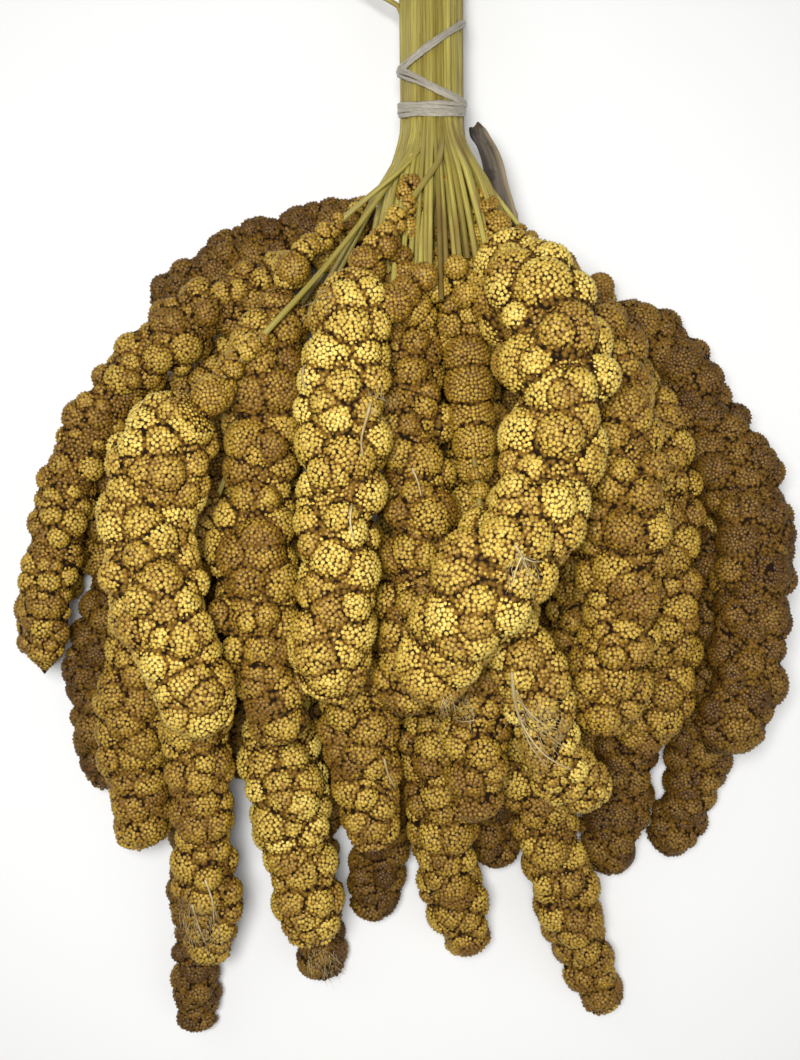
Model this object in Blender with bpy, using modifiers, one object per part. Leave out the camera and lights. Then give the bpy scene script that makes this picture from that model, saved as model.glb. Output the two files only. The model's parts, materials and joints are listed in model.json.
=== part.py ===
"""A tied bunch of foxtail millet seed heads, lying on its side on a flat surface.

The cut stems point along +Y, the seed heads hang toward -Y, and +Z is up. The origin is
on the surface, under the middle of the bunch. Each seed head is a chain of rings along a
route on the floor plan; the heads are laid one on another in the order of the table, and
a spacing rule then gives every head and stem its own room. Layout tables and sizes are in
millimetres, and the meshes are made in metres.
"""

import math
import random
from dataclasses import dataclass

import bmesh
import bpy
import numpy as np
from mathutils import Matrix, Vector

MM = 0.001
SEED = 20453

# Seed heads: rings along a head, sides round it, and the depth of its lobes
HEAD_BANDS = 17
HEAD_SIDES = 12
END_CROWDING = 0.35
LOBE_DEPTH = 0.19
LOBE_JITTER = 0.07
PRESSED_FLAT = 4.2
BASE_SHARE = 0.11
BASE_POWER = 0.6
TAPER_START = 0.45
TAPER_DEPTH = 0.24
TIP_SHARE = 0.1
TAPER_POWER = 1.7
BULGE = 0.07
BULGE_WAVES = 2.3
BULGE_TURN = 2.4

# Stems and the tied bundle
STEM_RADIUS = 1.05
RING_STEMS = 26
RING_RADIUS = 10.0
INNER_RINGS = ((7.0, 13), (4.3, 8), (1.6, 3))
SHORT_STEM_END = 62.0
BAND_PLACE = (11.2, 141.5, 36.8)
CUT_END_DISTANCE = 91.0
CUT_END_HEIGHT = 12.6
CYLINDER_LENGTH = 42.0
CYLINDER_FOOT = 3.8
CUT_END_SPREAD = 1.12
CONE_STATIONS = ((14.0, 1.2), (28.0, 1.65))
SHORT_STEM_SPREAD = 2.1
CONE_DROP = 12.0
STEM_STEP = 15.0
STEM_LEAD = 0.8
STRAY_SLOT = 25
STRAY_STATIONS = ((10.0, 9.0, 1.5), (22.0, 26.0, 3.0))
SQUEEZE_RADIUS = 8.3
SQUEEZE_LENGTH = 5.0
JOINT_GAP = 0.5
MOST_TILT = math.radians(70)

# Ribbon of split leaf round the bundle
RIBBON_RADIUS = 11.75
RIBBON_THICKNESS = 0.5
BAND_WIDTH = 5.6
BAND_ALONG = 5.9
STRIP_WIDTH = 3.8
FOLD_ALONG = 21.3
LOW_STRIP_END = 7.8
HIGH_STRIP_END = 41.8
TIE_LEAN = 0.675
RIBBON_SIDES = 28

# Dry leaf beside the bundle
LEAF_ROUTE = (
    (27.5, 137.0, 37.0),
    (32.5, 129.0, 38.0),
    (37.0, 118.0, 40.0),
    (40.0, 105.0, 43.0),
    (42.0, 93.0, 47.0),
)
LEAF_WIDTH = 6.0
LEAF_THICKNESS = 0.9
LEAF_ROOM = 3.3
LEAF_ROWS = 9
LEAF_BOW = 1.1
LEAF_NODE_BOW = 1.4
LEAF_NODE_ROWS = (0, 4, 8)

# How far up the stiff stems carry the first part of their heads
BASE_SPREAD = 2.1
NEAR_STEM = 32.0
STIFF_SHARE = 0.4
STIFFEST = 0.1

# Spacing rule
ROUNDS = 420
QUIET_ROUNDS = 160
LAST_ROUNDS = 300
GAP = 0.55
LAYER_STEP = 3.4
SINK = 0.3
PULL = 0.09
FLOOR_SHARE = 0.93
HEAVY_GIVE = 2.2
LEAST_GIVE = 0.12
LENGTH_EASE = 0.45
BEND_EASE = (0.14, 0.07)


@dataclass(frozen=True)
class HeadPlan:
    """One seed head: route of its axis on the floor plan, base first, and its size."""

    name: str
    girth: float
    tint: str
    route: tuple
    own_stem: bool = True


HEADS = (
    HeadPlan(
        "floor_right",
        14.0,
        "brown",
        ((55, 48), (60, 11), (60, -26), (61, -62), (59, -96)),
        own_stem=False,
    ),
    HeadPlan(
        "floor_centre",
        14.0,
        "brown",
        ((20, 18), (24, -26), (28, -62), (31, -99), (40, -132)),
        own_stem=False,
    ),
    HeadPlan(
        "tip_centre",
        14.0,
        "brown",
        ((-4, -4), (-6, -44), (-6, -77), (-9, -110), (-14, -151)),
    ),
    HeadPlan(
        "tip_centre_left",
        12.5,
        "brown",
        ((-26, -22), (-28, -62), (-29, -99), (-29, -136), (-28, -173)),
    ),
    HeadPlan(
        "floor_left",
        14.0,
        "brown",
        ((-42, 44), (-54, 8), (-60, -30), (-58, -68), (-54, -99)),
        own_stem=False,
    ),
    HeadPlan(
        "tip_far_left",
        12.0,
        "brown",
        ((-68, -26), (-70, -62), (-72, -99), (-74, -147), (-76, -193)),
    ),
    HeadPlan(
        "low_left",
        14.0,
        "brown",
        ((-99, 6), (-107, -33), (-109, -62), (-107, -99)),
    ),
    HeadPlan(
        "left_inner",
        13.0,
        "gold",
        ((-35, 63), (-63, 62), (-91, 57), (-108, 36), (-112, 7), (-114, -22), (-115, -56)),
    ),
    HeadPlan(
        "back_left",
        13.0,
        "brown",
        ((-3, 113), (-37, 108), (-59, 103), (-77, 94), (-91, 80)),
    ),
    HeadPlan(
        "low_right",
        14.5,
        "brown",
        ((88, 11), (93, -26), (92, -59), (87, -92), (73, -133)),
    ),
    HeadPlan(
        "low_right_rim",
        13.5,
        "brown",
        ((107, 11), (111, -26), (112, -55), (107, -96), (92, -123)),
    ),
    HeadPlan(
        "right_rim",
        16.2,
        "brown",
        ((73, 88), (90, 75), (102, 50), (107, 17), (109, -18), (108, -54), (102, -90)),
    ),
    HeadPlan(
        "left_rim",
        12.0,
        "gold",
        ((-25, 88), (-47, 86), (-69, 82), (-95, 70), (-119, 40), (-126, 0), (-126, -28), (-126, -52)),
    ),
    HeadPlan(
        "left_low",
        14.5,
        "gold",
        ((-77, -10), (-84, -38), (-87, -66), (-85, -94), (-87, -118)),
    ),
    HeadPlan(
        "right_second",
        14.5,
        "gold",
        ((82, 69), (93, 45), (97, 10), (95, -24), (89, -55), (82, -83)),
    ),
    HeadPlan(
        "tip_right",
        13.5,
        "gold",
        ((31, -24), (36, -59), (43, -96), (61, -138), (80, -185)),
    ),
    HeadPlan(
        "tip_middle",
        14.0,
        "gold",
        ((0, -5), (1, -42), (4, -90), (15, -127), (29, -163)),
    ),
    HeadPlan(
        "tip_left",
        13.0,
        "gold",
        ((-83, -14), (-79, -42), (-68, -90), (-67, -124), (-69, -162)),
    ),
    HeadPlan(
        "middle_low",
        14.5,
        "gold",
        ((-23, 14), (-16, -24), (-11, -58), (-7, -89), (-6, -115)),
    ),
    HeadPlan(
        "centre_long",
        14.2,
        "gold",
        ((12, 94), (23, 50), (26, 20), (20, -17), (17, -50), (19, -77), (22, -106)),
    ),
    HeadPlan(
        "right_inner",
        13.0,
        "gold",
        ((67, 47), (67, 17), (64, -13), (58, -43), (56, -77)),
    ),
    HeadPlan(
        "bright_tip",
        15.6,
        "yellow",
        ((-44, -10), (-41, -49), (-38, -86), (-34, -121), (-28, -151)),
    ),
    HeadPlan(
        "small_right",
        11.8,
        "yellow",
        ((16, -10), (22, -39), (34, -64), (52, -82), (74, -95)),
    ),
    HeadPlan(
        "left_column",
        15.4,
        "gold",
        ((-43, 86), (-50, 50), (-49, 16), (-43, -16), (-38, -51), (-35, -77)),
    ),
    HeadPlan(
        "right_column",
        15.5,
        "gold",
        ((61, 79), (77, 58), (79, 26), (76, -10), (69, -45), (61, -72)),
    ),
    HeadPlan(
        "centre",
        14.4,
        "gold",
        ((-1, 92), (-1, 56), (7, 25), (10, 3), (3, -29), (-4, -65)),
    ),
    HeadPlan(
        "left_bright",
        16.6,
        "yellow",
        ((-62, 37), (-80, 28), (-87, 7), (-81, -17), (-67, -42), (-58, -66)),
    ),
    HeadPlan(
        "centre_bright",
        15.3,
        "yellow",
        ((-17, 84), (-13, 50), (-15, 24), (-21, -3), (-24, -33), (-29, -58)),
    ),
    HeadPlan(
        "right_bright",
        17.5,
        "yellow",
        ((35, 87), (53, 80), (64, 67), (64, 49), (57, 31), (47, 9), (31, -18), (3, -54)),
    ),
)

COLOURS = {
    "brown": (0.30, 0.17, 0.045),
    "gold": (0.43, 0.27, 0.065),
    "yellow": (0.56, 0.39, 0.10),
    "stem": (0.62, 0.52, 0.24),
    "ribbon": (0.68, 0.60, 0.44),
    "leaf": (0.22, 0.14, 0.07),
}


@dataclass
class Strand:
    """A chain of points with a radius at each: a stem, and the head it carries."""

    name: str
    points: np.ndarray
    radii: np.ndarray
    held: np.ndarray
    head_start: int
    plan: HeadPlan = None


def clear_scene():
    """Remove whatever objects the file opened with."""
    for thing in list(bpy.data.objects):
        bpy.data.objects.remove(thing, do_unlink=True)


def make_collection(name):
    """A new collection linked to the scene."""
    collection = bpy.data.collections.new(name)
    bpy.context.scene.collection.children.link(collection)
    return collection


def make_material(name, colour, roughness):
    """A Principled material."""
    material = bpy.data.materials.new(name)
    material.use_nodes = True
    shader = material.node_tree.nodes["Principled BSDF"]
    shader.inputs["Base Color"].default_value = (*colour, 1.0)
    shader.inputs["Roughness"].default_value = roughness
    shader.inputs["Metallic"].default_value = 0.0
    return material


def spline(points, count_or_shares):
    """Points at even shares, or at the given shares, of a smooth curve through all points."""
    points = np.asarray(points, float)
    padded = np.vstack([2 * points[0] - points[1], points, 2 * points[-1] - points[-2]])
    fine = []
    for a, b, c, d in zip(padded, padded[1:], padded[2:], padded[3:]):
        for u in np.linspace(0.0, 1.0, 24, endpoint=False):
            square = (2 * a - 5 * b + 4 * c - d) * u**2
            cube = (3 * b - a - 3 * c + d) * u**3
            fine.append(0.5 * (2 * b + (c - a) * u + square + cube))
    fine.append(points[-1])
    fine = np.array(fine)
    along = np.concatenate([[0.0], np.cumsum(np.linalg.norm(np.diff(fine, axis=0), axis=1))])
    shares = count_or_shares
    if isinstance(shares, int):
        shares = np.linspace(0.0, 1.0, shares)
    return np.column_stack([np.interp(np.asarray(shares) * along[-1], along, fine[:, k]) for k in range(3)])


def head_shares():
    """Where the rings of a head lie along it, closer together at both ends."""
    even = np.linspace(0.0, 1.0, HEAD_BANDS + 1)
    rounded = (1 - np.cos(math.pi * even)) / 2
    return (1 - END_CROWDING) * even + END_CROWDING * rounded


def girth_at(share):
    """Radius of a head, as a share of its full radius: round base, slow taper, blunt tip."""
    base = min(share / BASE_SHARE, 1.0) ** BASE_POWER
    taper = 1 - TAPER_DEPTH * max(0.0, (share - TAPER_START) / (1 - TAPER_START)) ** TAPER_POWER
    tip = math.sqrt(max(0.0, 1 - max(0.0, (share - 1 + TIP_SHARE) / TIP_SHARE) ** 2))
    return max(base * taper * tip, 0.0)


def bundle_axis():
    """The bundle's axis: the point under the band, and its unit direction to the cut ends."""
    place = np.array(BAND_PLACE)
    drop = (CUT_END_HEIGHT - place[2]) / CUT_END_DISTANCE
    direction = np.array([0.0, math.sqrt(1 - drop * drop), drop])
    return place, direction


def slot_point(radius, angle, along, spread=1.0):
    """A point at a slot of the bundle: angle 0 is at +X, and 90 degrees is on top."""
    place, direction = bundle_axis()
    side = np.array([1.0, 0.0, 0.0])
    up = np.cross(side, direction)
    offset = radius * spread * (math.cos(angle) * side + math.sin(angle) * up)
    return place + along * direction + offset


def bundle_stem(radius, angle, stray=False):
    """Points of a stem from its cut end to below the band."""
    ends = [slot_point(radius, angle, CUT_END_DISTANCE, CUT_END_SPREAD)]
    if stray:
        ends = [
            slot_point(radius, angle, CYLINDER_LENGTH + beyond) + np.array([-aside, 0.0, rise])
            for beyond, aside, rise in reversed(STRAY_STATIONS)
        ]
    ends += [slot_point(radius, angle, CYLINDER_LENGTH), slot_point(radius, angle, -CYLINDER_FOOT)]
    ends += [slot_point(radius, angle, -distance, spread) for distance, spread in CONE_STATIONS]
    return ends


def raise_base(body, shares, stem):
    """Lift or lower the first part of a head to where its stem comes from, if that is near."""
    nearness = math.exp(-max(0.0, math.hypot(*(body[0] - stem)[:2]) - NEAR_STEM) / NEAR_STEM)
    body[:, 2] += nearness * np.clip(1 - shares / STIFF_SHARE, 0.0, 1.0) * (stem[2] - body[0][2])


def plan_strands():
    """Every strand at its first place: the heads stacked in laying order, then inner stems."""
    shares = head_shares()
    girths = np.array([girth_at(share) for share in shares])
    cone, _ = bundle_axis()
    cone = slot_point(0.0, 0.0, -CONE_STATIONS[-1][0])
    bodies = []
    for rank, plan in enumerate(HEADS):
        height = plan.girth + LAYER_STEP * rank
        route = [(x, y, height) for x, y in plan.route]
        bodies.append(spline(route, shares))
    turn = [math.atan2(body[0][2] - cone[2] - CONE_DROP, body[0][0] - cone[0]) for body in bodies]
    ringed = sorted((k for k, plan in enumerate(HEADS) if plan.own_stem), key=lambda k: turn[k])
    slots = {
        k: (RING_RADIUS, -math.pi + 2 * math.pi * (n + 0.5) / RING_STEMS, n) for n, k in enumerate(ringed)
    }
    inner = [
        (radius, 2 * math.pi * n / count - math.pi / 2)
        for radius, count in INNER_RINGS
        for n in range(count)
    ]
    for k, plan in enumerate(HEADS):
        if not plan.own_stem:
            outer = inner[: INNER_RINGS[0][1]]
            wanted = min(outer, key=lambda slot: abs(math.remainder(slot[1] - turn[k], 2 * math.pi)))
            inner.remove(wanted)
            slots[k] = (*wanted, None)
    strands = []
    for k, plan in enumerate(HEADS):
        radius, angle, slot = slots[k]
        raise_base(bodies[k], shares, slot_point(radius, angle, -CONE_STATIONS[-1][0], BASE_SPREAD))
        start = bundle_stem(radius, angle, slot == STRAY_SLOT)
        held = len(start) - 1
        reach = np.linalg.norm(bodies[k][0] - start[-1])
        between = max(1, int(reach / STEM_STEP))
        lead = bodies[k][0] - bodies[k][1]
        way = spline([start[-2], start[-1], bodies[k][0] + STEM_LEAD * lead, bodies[k][0]], 40)
        first = int(np.argmin(np.linalg.norm(way - start[-1], axis=1)))
        middle = way[np.linspace(first, len(way) - 1, between + 2).astype(int)[1:-1]]
        points = np.vstack([start, middle, bodies[k]])
        head_start = len(start) + len(middle)
        radii = np.full(len(points), STEM_RADIUS)
        bulges = 1 + BULGE * np.sin(2 * math.pi * BULGE_WAVES * shares + BULGE_TURN * k)
        radii[head_start:] = np.maximum(girths * bulges * plan.girth, STEM_RADIUS + 0.1)
        strands.append(Strand(plan.name, points, radii, np.arange(len(points)) < held, head_start, plan))
    for number, (radius, angle) in enumerate(inner, start=1):
        points = bundle_stem(radius, angle)
        points.append(slot_point(radius, angle, -SHORT_STEM_END, SHORT_STEM_SPREAD))
        points = np.array(points)
        held = np.arange(len(points)) < len(points) - 2
        radii = np.full(len(points), STEM_RADIUS)
        strands.append(Strand(f"inner_{number:02d}", points, radii, held, len(points)))
    leaf = spline(LEAF_ROUTE, 6)
    strands.append(Strand("leaf", leaf, np.full(6, LEAF_ROOM), np.arange(6) < 2, 6))
    return strands


def closest_places(p, q, r, s):
    """Shares along segments p-q and r-s where they come closest, all pairs at once."""
    d1 = q - p
    d2 = s - r
    w = p - r
    a = np.einsum("ij,ij->i", d1, d1)
    e = np.einsum("ij,ij->i", d2, d2)
    f = np.einsum("ij,ij->i", d2, w)
    c = np.einsum("ij,ij->i", d1, w)
    b = np.einsum("ij,ij->i", d1, d2)
    denominator = np.maximum(a * e - b * b, 1e-9)
    first = np.clip((b * f - c * e) / denominator, 0.0, 1.0)
    second = np.clip((b * first + f) / e, 0.0, 1.0)
    first = np.clip((b * second - c) / a, 0.0, 1.0)
    return first, second


class Room:
    """The spacing rule: moves the strands' points until no two strands touch."""

    def __init__(self, strands):
        self.strands = strands
        self.points = np.vstack([strand.points for strand in strands])
        self.radii = np.concatenate([strand.radii for strand in strands])
        self.held = np.concatenate([strand.held for strand in strands])
        owner = np.concatenate([np.full(len(strand.points), k) for k, strand in enumerate(strands)])
        self.start = np.flatnonzero(owner[:-1] == owner[1:])
        self.owner = owner[self.start]
        self.rest = np.linalg.norm(self.points[self.start + 1] - self.points[self.start], axis=1)
        self.wanted = self.points[:, :2].copy()
        self.give = np.where(self.held, 0.0, np.clip(HEAVY_GIVE / self.radii, LEAST_GIVE, 1.0))
        middle = (owner[:-2] == owner[1:-1]) & (owner[1:-1] == owner[2:])
        self.middles = np.flatnonzero(middle) + 1
        self.sink = np.concatenate([self.looseness(strand) for strand in strands])
        self.pairs = None

    def looseness(self, strand):
        """How freely each point sinks: little on a stem and at a head's base."""
        loose = np.full(len(strand.points), STIFFEST)
        if strand.plan:
            loose[strand.head_start :] = np.clip(head_shares() / STIFF_SHARE, STIFFEST, 1.0)
        return loose

    def find_pairs(self, margin):
        """Segment pairs of different strands that are near enough to matter."""
        p = self.points[self.start]
        q = self.points[self.start + 1]
        centre = (p + q) / 2
        thickest = np.maximum(self.radii[self.start], self.radii[self.start + 1])
        reach = np.linalg.norm(q - p, axis=1) / 2 + thickest
        apart = np.linalg.norm(centre[:, None] - centre[None], axis=2)
        near = apart < reach[:, None] + reach[None] + margin
        near &= self.owner[:, None] < self.owner[None]
        self.pairs = np.nonzero(near)

    def crossings(self):
        """How deep each pair of segments is in the other's room, and the way out of it."""
        i, j = self.start[self.pairs[0]], self.start[self.pairs[1]]
        u, v = closest_places(self.points[i], self.points[i + 1], self.points[j], self.points[j + 1])
        first = self.points[i] + u[:, None] * (self.points[i + 1] - self.points[i])
        second = self.points[j] + v[:, None] * (self.points[j + 1] - self.points[j])
        way = first - second
        distance = np.maximum(np.linalg.norm(way, axis=1), 1e-6)
        room = (1 - u) * self.radii[i] + u * self.radii[i + 1]
        room = room + (1 - v) * self.radii[j] + v * self.radii[j + 1]
        return i, j, u, v, way / distance[:, None], room + GAP - distance

    def part(self):
        """Push crossing segments apart, light strands more than heavy ones."""
        i, j, u, v, way, deep = self.crossings()
        bad = deep > 0
        i, j, u, v, way, deep = i[bad], j[bad], u[bad], v[bad], way[bad], deep[bad]
        if not len(deep):
            return 0.0
        shares = ((i, 1 - u, 1.0), (i + 1, u, 1.0), (j, 1 - v, -1.0), (j + 1, v, -1.0))
        total = sum(self.give[index] * share * share for index, share, _ in shares)
        total = np.maximum(total, 1e-6)
        push = np.zeros_like(self.points)
        count = np.zeros(len(self.points))
        for index, share, sign in shares:
            step = (sign * self.give[index] * share * deep / total)[:, None] * way
            np.add.at(push, index, step)
            np.add.at(count, index, share)
        self.points += push / np.maximum(count, 1.0)[:, None]
        return float(deep.max())

    def keep_lengths(self):
        """Keep each segment near its own length."""
        i = self.start
        way = self.points[i + 1] - self.points[i]
        length = np.maximum(np.linalg.norm(way, axis=1), 1e-6)
        total = np.maximum(self.give[i] + self.give[i + 1], 1e-6)
        pull = (LENGTH_EASE * (length - self.rest) / length / total)[:, None] * way
        np.add.at(self.points, i, self.give[i][:, None] * pull)
        np.add.at(self.points, i + 1, -self.give[i + 1][:, None] * pull)

    def soften(self, amount):
        """Ease sharp bends."""
        m = self.middles
        ease = amount * ((self.points[m - 1] + self.points[m + 1]) / 2 - self.points[m])
        self.points[m] += np.where(self.held[m], 0.0, 1.0)[:, None] * ease

    def stay_on_floor(self):
        """No strand sinks into the floor."""
        free = ~self.held
        lowest = self.radii * FLOOR_SHARE
        self.points[free, 2] = np.maximum(self.points[free, 2], lowest[free])

    def settle(self):
        """Let the stack sink together, then leave it only room to move apart."""
        free = ~self.held
        for turn in range(ROUNDS + QUIET_ROUNDS):
            if turn % 6 == 0:
                self.find_pairs(6.0)
            loose = max(0.0, 1 - turn / ROUNDS)
            if loose > 0:
                self.points[free, 2] -= SINK * loose * self.sink[free]
                pull = PULL * loose * (self.wanted - self.points[:, :2])
                self.points[free, :2] += pull[free]
            self.keep_lengths()
            self.soften(BEND_EASE[0] if loose > 0 else BEND_EASE[1])
            self.part()
            self.part()
            self.stay_on_floor()
        for _ in range(LAST_ROUNDS):
            self.find_pairs(3.0)
            deepest = self.part()
            self.stay_on_floor()
            if deepest < GAP / 4:
                break
        first = 0
        for strand in self.strands:
            strand.points = self.points[first : first + len(strand.points)]
            first += len(strand.points)
        return deepest


def frames_along(points):
    """Tangent, side and up at each point, turning as little as possible along the way."""
    tangents = np.gradient(points, axis=0)
    tangents /= np.linalg.norm(tangents, axis=1)[:, None]
    side = np.cross(tangents[0], (0.0, 0.0, 1.0))
    if np.linalg.norm(side) < 0.1:
        side = np.array([1.0, 0.0, 0.0])
    sides = []
    for tangent in tangents:
        side = side - tangent * np.dot(side, tangent)
        side = side / np.linalg.norm(side)
        sides.append(side)
    sides = np.array(sides)
    return tangents, sides, np.cross(tangents, sides)


def add_mesh(name, mesh_builder, collection, material):
    """Finish a bmesh into a named object with its material."""
    mesh = bpy.data.meshes.new(name)
    mesh_builder.to_mesh(mesh)
    mesh_builder.free()
    mesh.materials.append(material)
    thing = bpy.data.objects.new(name, mesh)
    collection.objects.link(thing)
    return thing


def build_head(strand, number, collection, materials):
    """A seed head: a sphere drawn out along its axis, its skin raised in staggered lobes."""
    draw = random.Random(SEED + number)
    axis = strand.points[strand.head_start :]
    _, sides, ups = frames_along(axis)
    girths = strand.radii[strand.head_start :]
    shape = bmesh.new()
    bmesh.ops.create_uvsphere(shape, u_segments=HEAD_SIDES, v_segments=HEAD_BANDS, radius=1.0)
    valleys = set()
    for vertex in shape.verts:
        band = round((1 - math.acos(max(-1.0, min(1.0, vertex.co.z))) / math.pi) * HEAD_BANDS)
        angle = math.atan2(vertex.co.y, vertex.co.x)
        column = round(angle / (2 * math.pi) * HEAD_SIDES)
        if band in (0, HEAD_BANDS):
            vertex.co = Vector(axis[band] * MM)
            continue
        valley = LOBE_DEPTH if (band + column) % 2 else 0.0
        radius = girths[band] * (1 - valley - LOBE_JITTER * draw.random())
        place = axis[band] + radius * (math.cos(angle) * sides[band] + math.sin(angle) * ups[band])
        if place[2] < PRESSED_FLAT:
            place[2] = 0.0
        vertex.co = Vector(place * MM)
        if valley:
            valleys.add(vertex)
    for face in list(shape.faces):
        low = [vertex for vertex in face.verts if vertex in valleys]
        if len(face.verts) == 4 and len(low) == 2:
            bmesh.utils.face_split(face, *low)
    return add_mesh(f"head_{strand.name}", shape, collection, materials[strand.plan.tint])


def tube(name, points, radius, collection, material, bevel_resolution):
    """A stem as a bevelled curve with filled caps."""
    curve = bpy.data.curves.new(name, "CURVE")
    curve.dimensions = "3D"
    curve.bevel_depth = radius * MM
    curve.bevel_resolution = bevel_resolution
    curve.use_fill_caps = True
    line = curve.splines.new("POLY")
    line.points.add(len(points) - 1)
    for place, point in zip(points, line.points):
        point.co = (*(np.asarray(place) * MM), 1.0)
    curve.materials.append(material)
    thing = bpy.data.objects.new(name, curve)
    collection.objects.link(thing)
    return thing


def as_mesh(thing, collection):
    """The same shape as a mesh object, with its caps welded and the curve removed."""
    bpy.context.view_layer.update()
    evaluated = thing.evaluated_get(bpy.context.evaluated_depsgraph_get())
    mesh = bpy.data.meshes.new_from_object(evaluated)
    shape = bmesh.new()
    shape.from_mesh(mesh)
    bmesh.ops.remove_doubles(shape, verts=shape.verts, dist=0.00002)
    shape.to_mesh(mesh)
    shape.free()
    name = thing.name
    matrix = thing.matrix_world.copy()
    bpy.data.objects.remove(thing, do_unlink=True)
    solid = bpy.data.objects.new(name, mesh)
    solid.matrix_world = matrix
    collection.objects.link(solid)
    return solid


def stem_line(strand):
    """A stem's points, its last one drawn back so that its end clears the head's round base."""
    points = np.array(strand.points[: strand.head_start + 1])
    first_ring = strand.points[strand.head_start + 1] - points[-1]
    reach = np.linalg.norm(first_ring)
    arrival = points[-1] - points[-2]
    bend = math.acos(np.clip(np.dot(arrival, first_ring) / np.linalg.norm(arrival) / reach, -1.0, 1.0))
    opening = math.atan2(strand.radii[strand.head_start + 1], reach)
    tilt = min(max(0.0, bend + opening - math.pi / 2), MOST_TILT)
    amount = JOINT_GAP + STEM_RADIUS * math.tan(tilt)
    way = points[-1] - points[-2]
    length = np.linalg.norm(way)
    points[-1] = points[-2] + way * (length - amount) / length
    return points


def union(name, things, collection, material):
    """One solid from several that cross each other."""
    tools = make_collection(f"{name}_cutters")
    body = things[0]
    for thing in things[1:]:
        for home in thing.users_collection:
            home.objects.unlink(thing)
        thing.hide_render = True
        thing.display_type = "WIRE"
        tools.objects.link(thing)
    joining = body.modifiers.new("join", "BOOLEAN")
    joining.operation = "UNION"
    joining.operand_type = "COLLECTION"
    joining.collection = tools
    joining.solver = "MANIFOLD"
    bpy.context.view_layer.update()
    evaluated = body.evaluated_get(bpy.context.evaluated_depsgraph_get())
    mesh = bpy.data.meshes.new_from_object(evaluated)
    mesh.name = name
    for thing in list(tools.objects):
        bpy.data.objects.remove(thing, do_unlink=True)
    bpy.data.objects.remove(body, do_unlink=True)
    bpy.data.collections.remove(tools)
    mesh.materials.clear()
    mesh.materials.append(material)
    joined = bpy.data.objects.new(name, mesh)
    collection.objects.link(joined)
    return joined


def build_inner_stems(strands, collection, material):
    """The stems inside the bundle, squeezed into one where the band holds them."""
    place, direction = bundle_axis()
    bpy.ops.mesh.primitive_cylinder_add(
        vertices=24,
        radius=SQUEEZE_RADIUS * MM,
        depth=SQUEEZE_LENGTH * MM,
        location=place * MM,
        rotation=Vector(direction).to_track_quat("Z", "Y").to_euler(),
    )
    squeezed = bpy.context.object
    bpy.ops.object.transform_apply(location=True, rotation=True, scale=True)
    for home in squeezed.users_collection:
        home.objects.unlink(squeezed)
    collection.objects.link(squeezed)
    stems = [squeezed]
    for strand in strands:
        line = strand.points[: strand.head_start]
        if strand.plan:
            line = stem_line(strand)
        stems.append(as_mesh(tube(strand.name, line, STEM_RADIUS, collection, material, 0), collection))
    return union("inner_stems", stems, collection, material)


def ribbon_ring(name, width, left, right, collection):
    """A ring of ribbon round the bundle, from its distance along it at the left to that at the right.

    Its top leans toward the heads, so that it runs straight across when seen from above.
    """
    place, direction = bundle_axis()
    bpy.ops.mesh.primitive_cylinder_add(
        vertices=RIBBON_SIDES, radius=RIBBON_RADIUS * MM, depth=width * MM, end_fill_type="NOTHING"
    )
    ring = bpy.context.object
    ring.name = name
    slant = (right - left) / (2 * RIBBON_RADIUS)
    for vertex in ring.data.vertices:
        vertex.co.z += slant * vertex.co.x + TIE_LEAN * vertex.co.y + (left + right) / 2 * MM
    side = np.array([1.0, 0.0, 0.0])
    turn = Matrix((side, np.cross(direction, side), direction)).transposed()
    ring.data.transform(turn.to_4x4())
    for vertex in ring.data.vertices:
        vertex.co += Vector(place * MM)
    shell = ring.modifiers.new("thickness", "SOLIDIFY")
    shell.thickness = RIBBON_THICKNESS * MM
    shell.offset = 1.0
    for home in ring.users_collection:
        home.objects.unlink(ring)
    collection.objects.link(ring)
    return as_mesh(ring, collection)


def build_tie(collection, material):
    """The ribbon: a level band and two slanted turns that meet it and each other."""
    rings = [
        ribbon_ring("band", BAND_WIDTH, BAND_ALONG, BAND_ALONG, collection),
        ribbon_ring("low_strip", STRIP_WIDTH, FOLD_ALONG, LOW_STRIP_END, collection),
        ribbon_ring("high_strip", STRIP_WIDTH, FOLD_ALONG, HIGH_STRIP_END, collection),
    ]
    return union("tie_ribbon", rings, collection, material)


def build_leaf(strand, collection, material):
    """The dry leaf: an arched blade that narrows toward both ends."""
    axis = spline(strand.points, LEAF_ROWS)
    _, sides, ups = frames_along(axis)
    shape = bmesh.new()
    bmesh.ops.create_grid(shape, x_segments=4, y_segments=LEAF_ROWS - 1, size=1.0)
    for vertex in shape.verts:
        row = round((vertex.co.y + 1) / 2 * (LEAF_ROWS - 1))
        across = vertex.co.x
        half = LEAF_WIDTH / 2 * math.sin(math.pi * (0.12 + 0.8 * row / (LEAF_ROWS - 1))) ** 0.6
        bow = (1 - across * across) * (LEAF_NODE_BOW if row in LEAF_NODE_ROWS else LEAF_BOW)
        vertex.co = Vector((axis[row] + half * across * sides[row] + bow * ups[row]) * MM)
    blade = add_mesh("dry_leaf", shape, collection, material)
    shell = blade.modifiers.new("thickness", "SOLIDIFY")
    shell.thickness = LEAF_THICKNESS * MM
    shell.offset = 0.0
    return blade


def centre_on_floor(collection):
    """Move everything so that the origin is on the floor under the middle of the whole."""
    bpy.context.view_layer.update()
    corners = [
        thing.matrix_world @ Vector(corner)
        for thing in collection.objects
        for corner in thing.bound_box
    ]
    middle_x = (min(c.x for c in corners) + max(c.x for c in corners)) / 2
    middle_y = (min(c.y for c in corners) + max(c.y for c in corners)) / 2
    for thing in collection.objects:
        thing.location -= Vector((middle_x, middle_y, 0.0))


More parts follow.
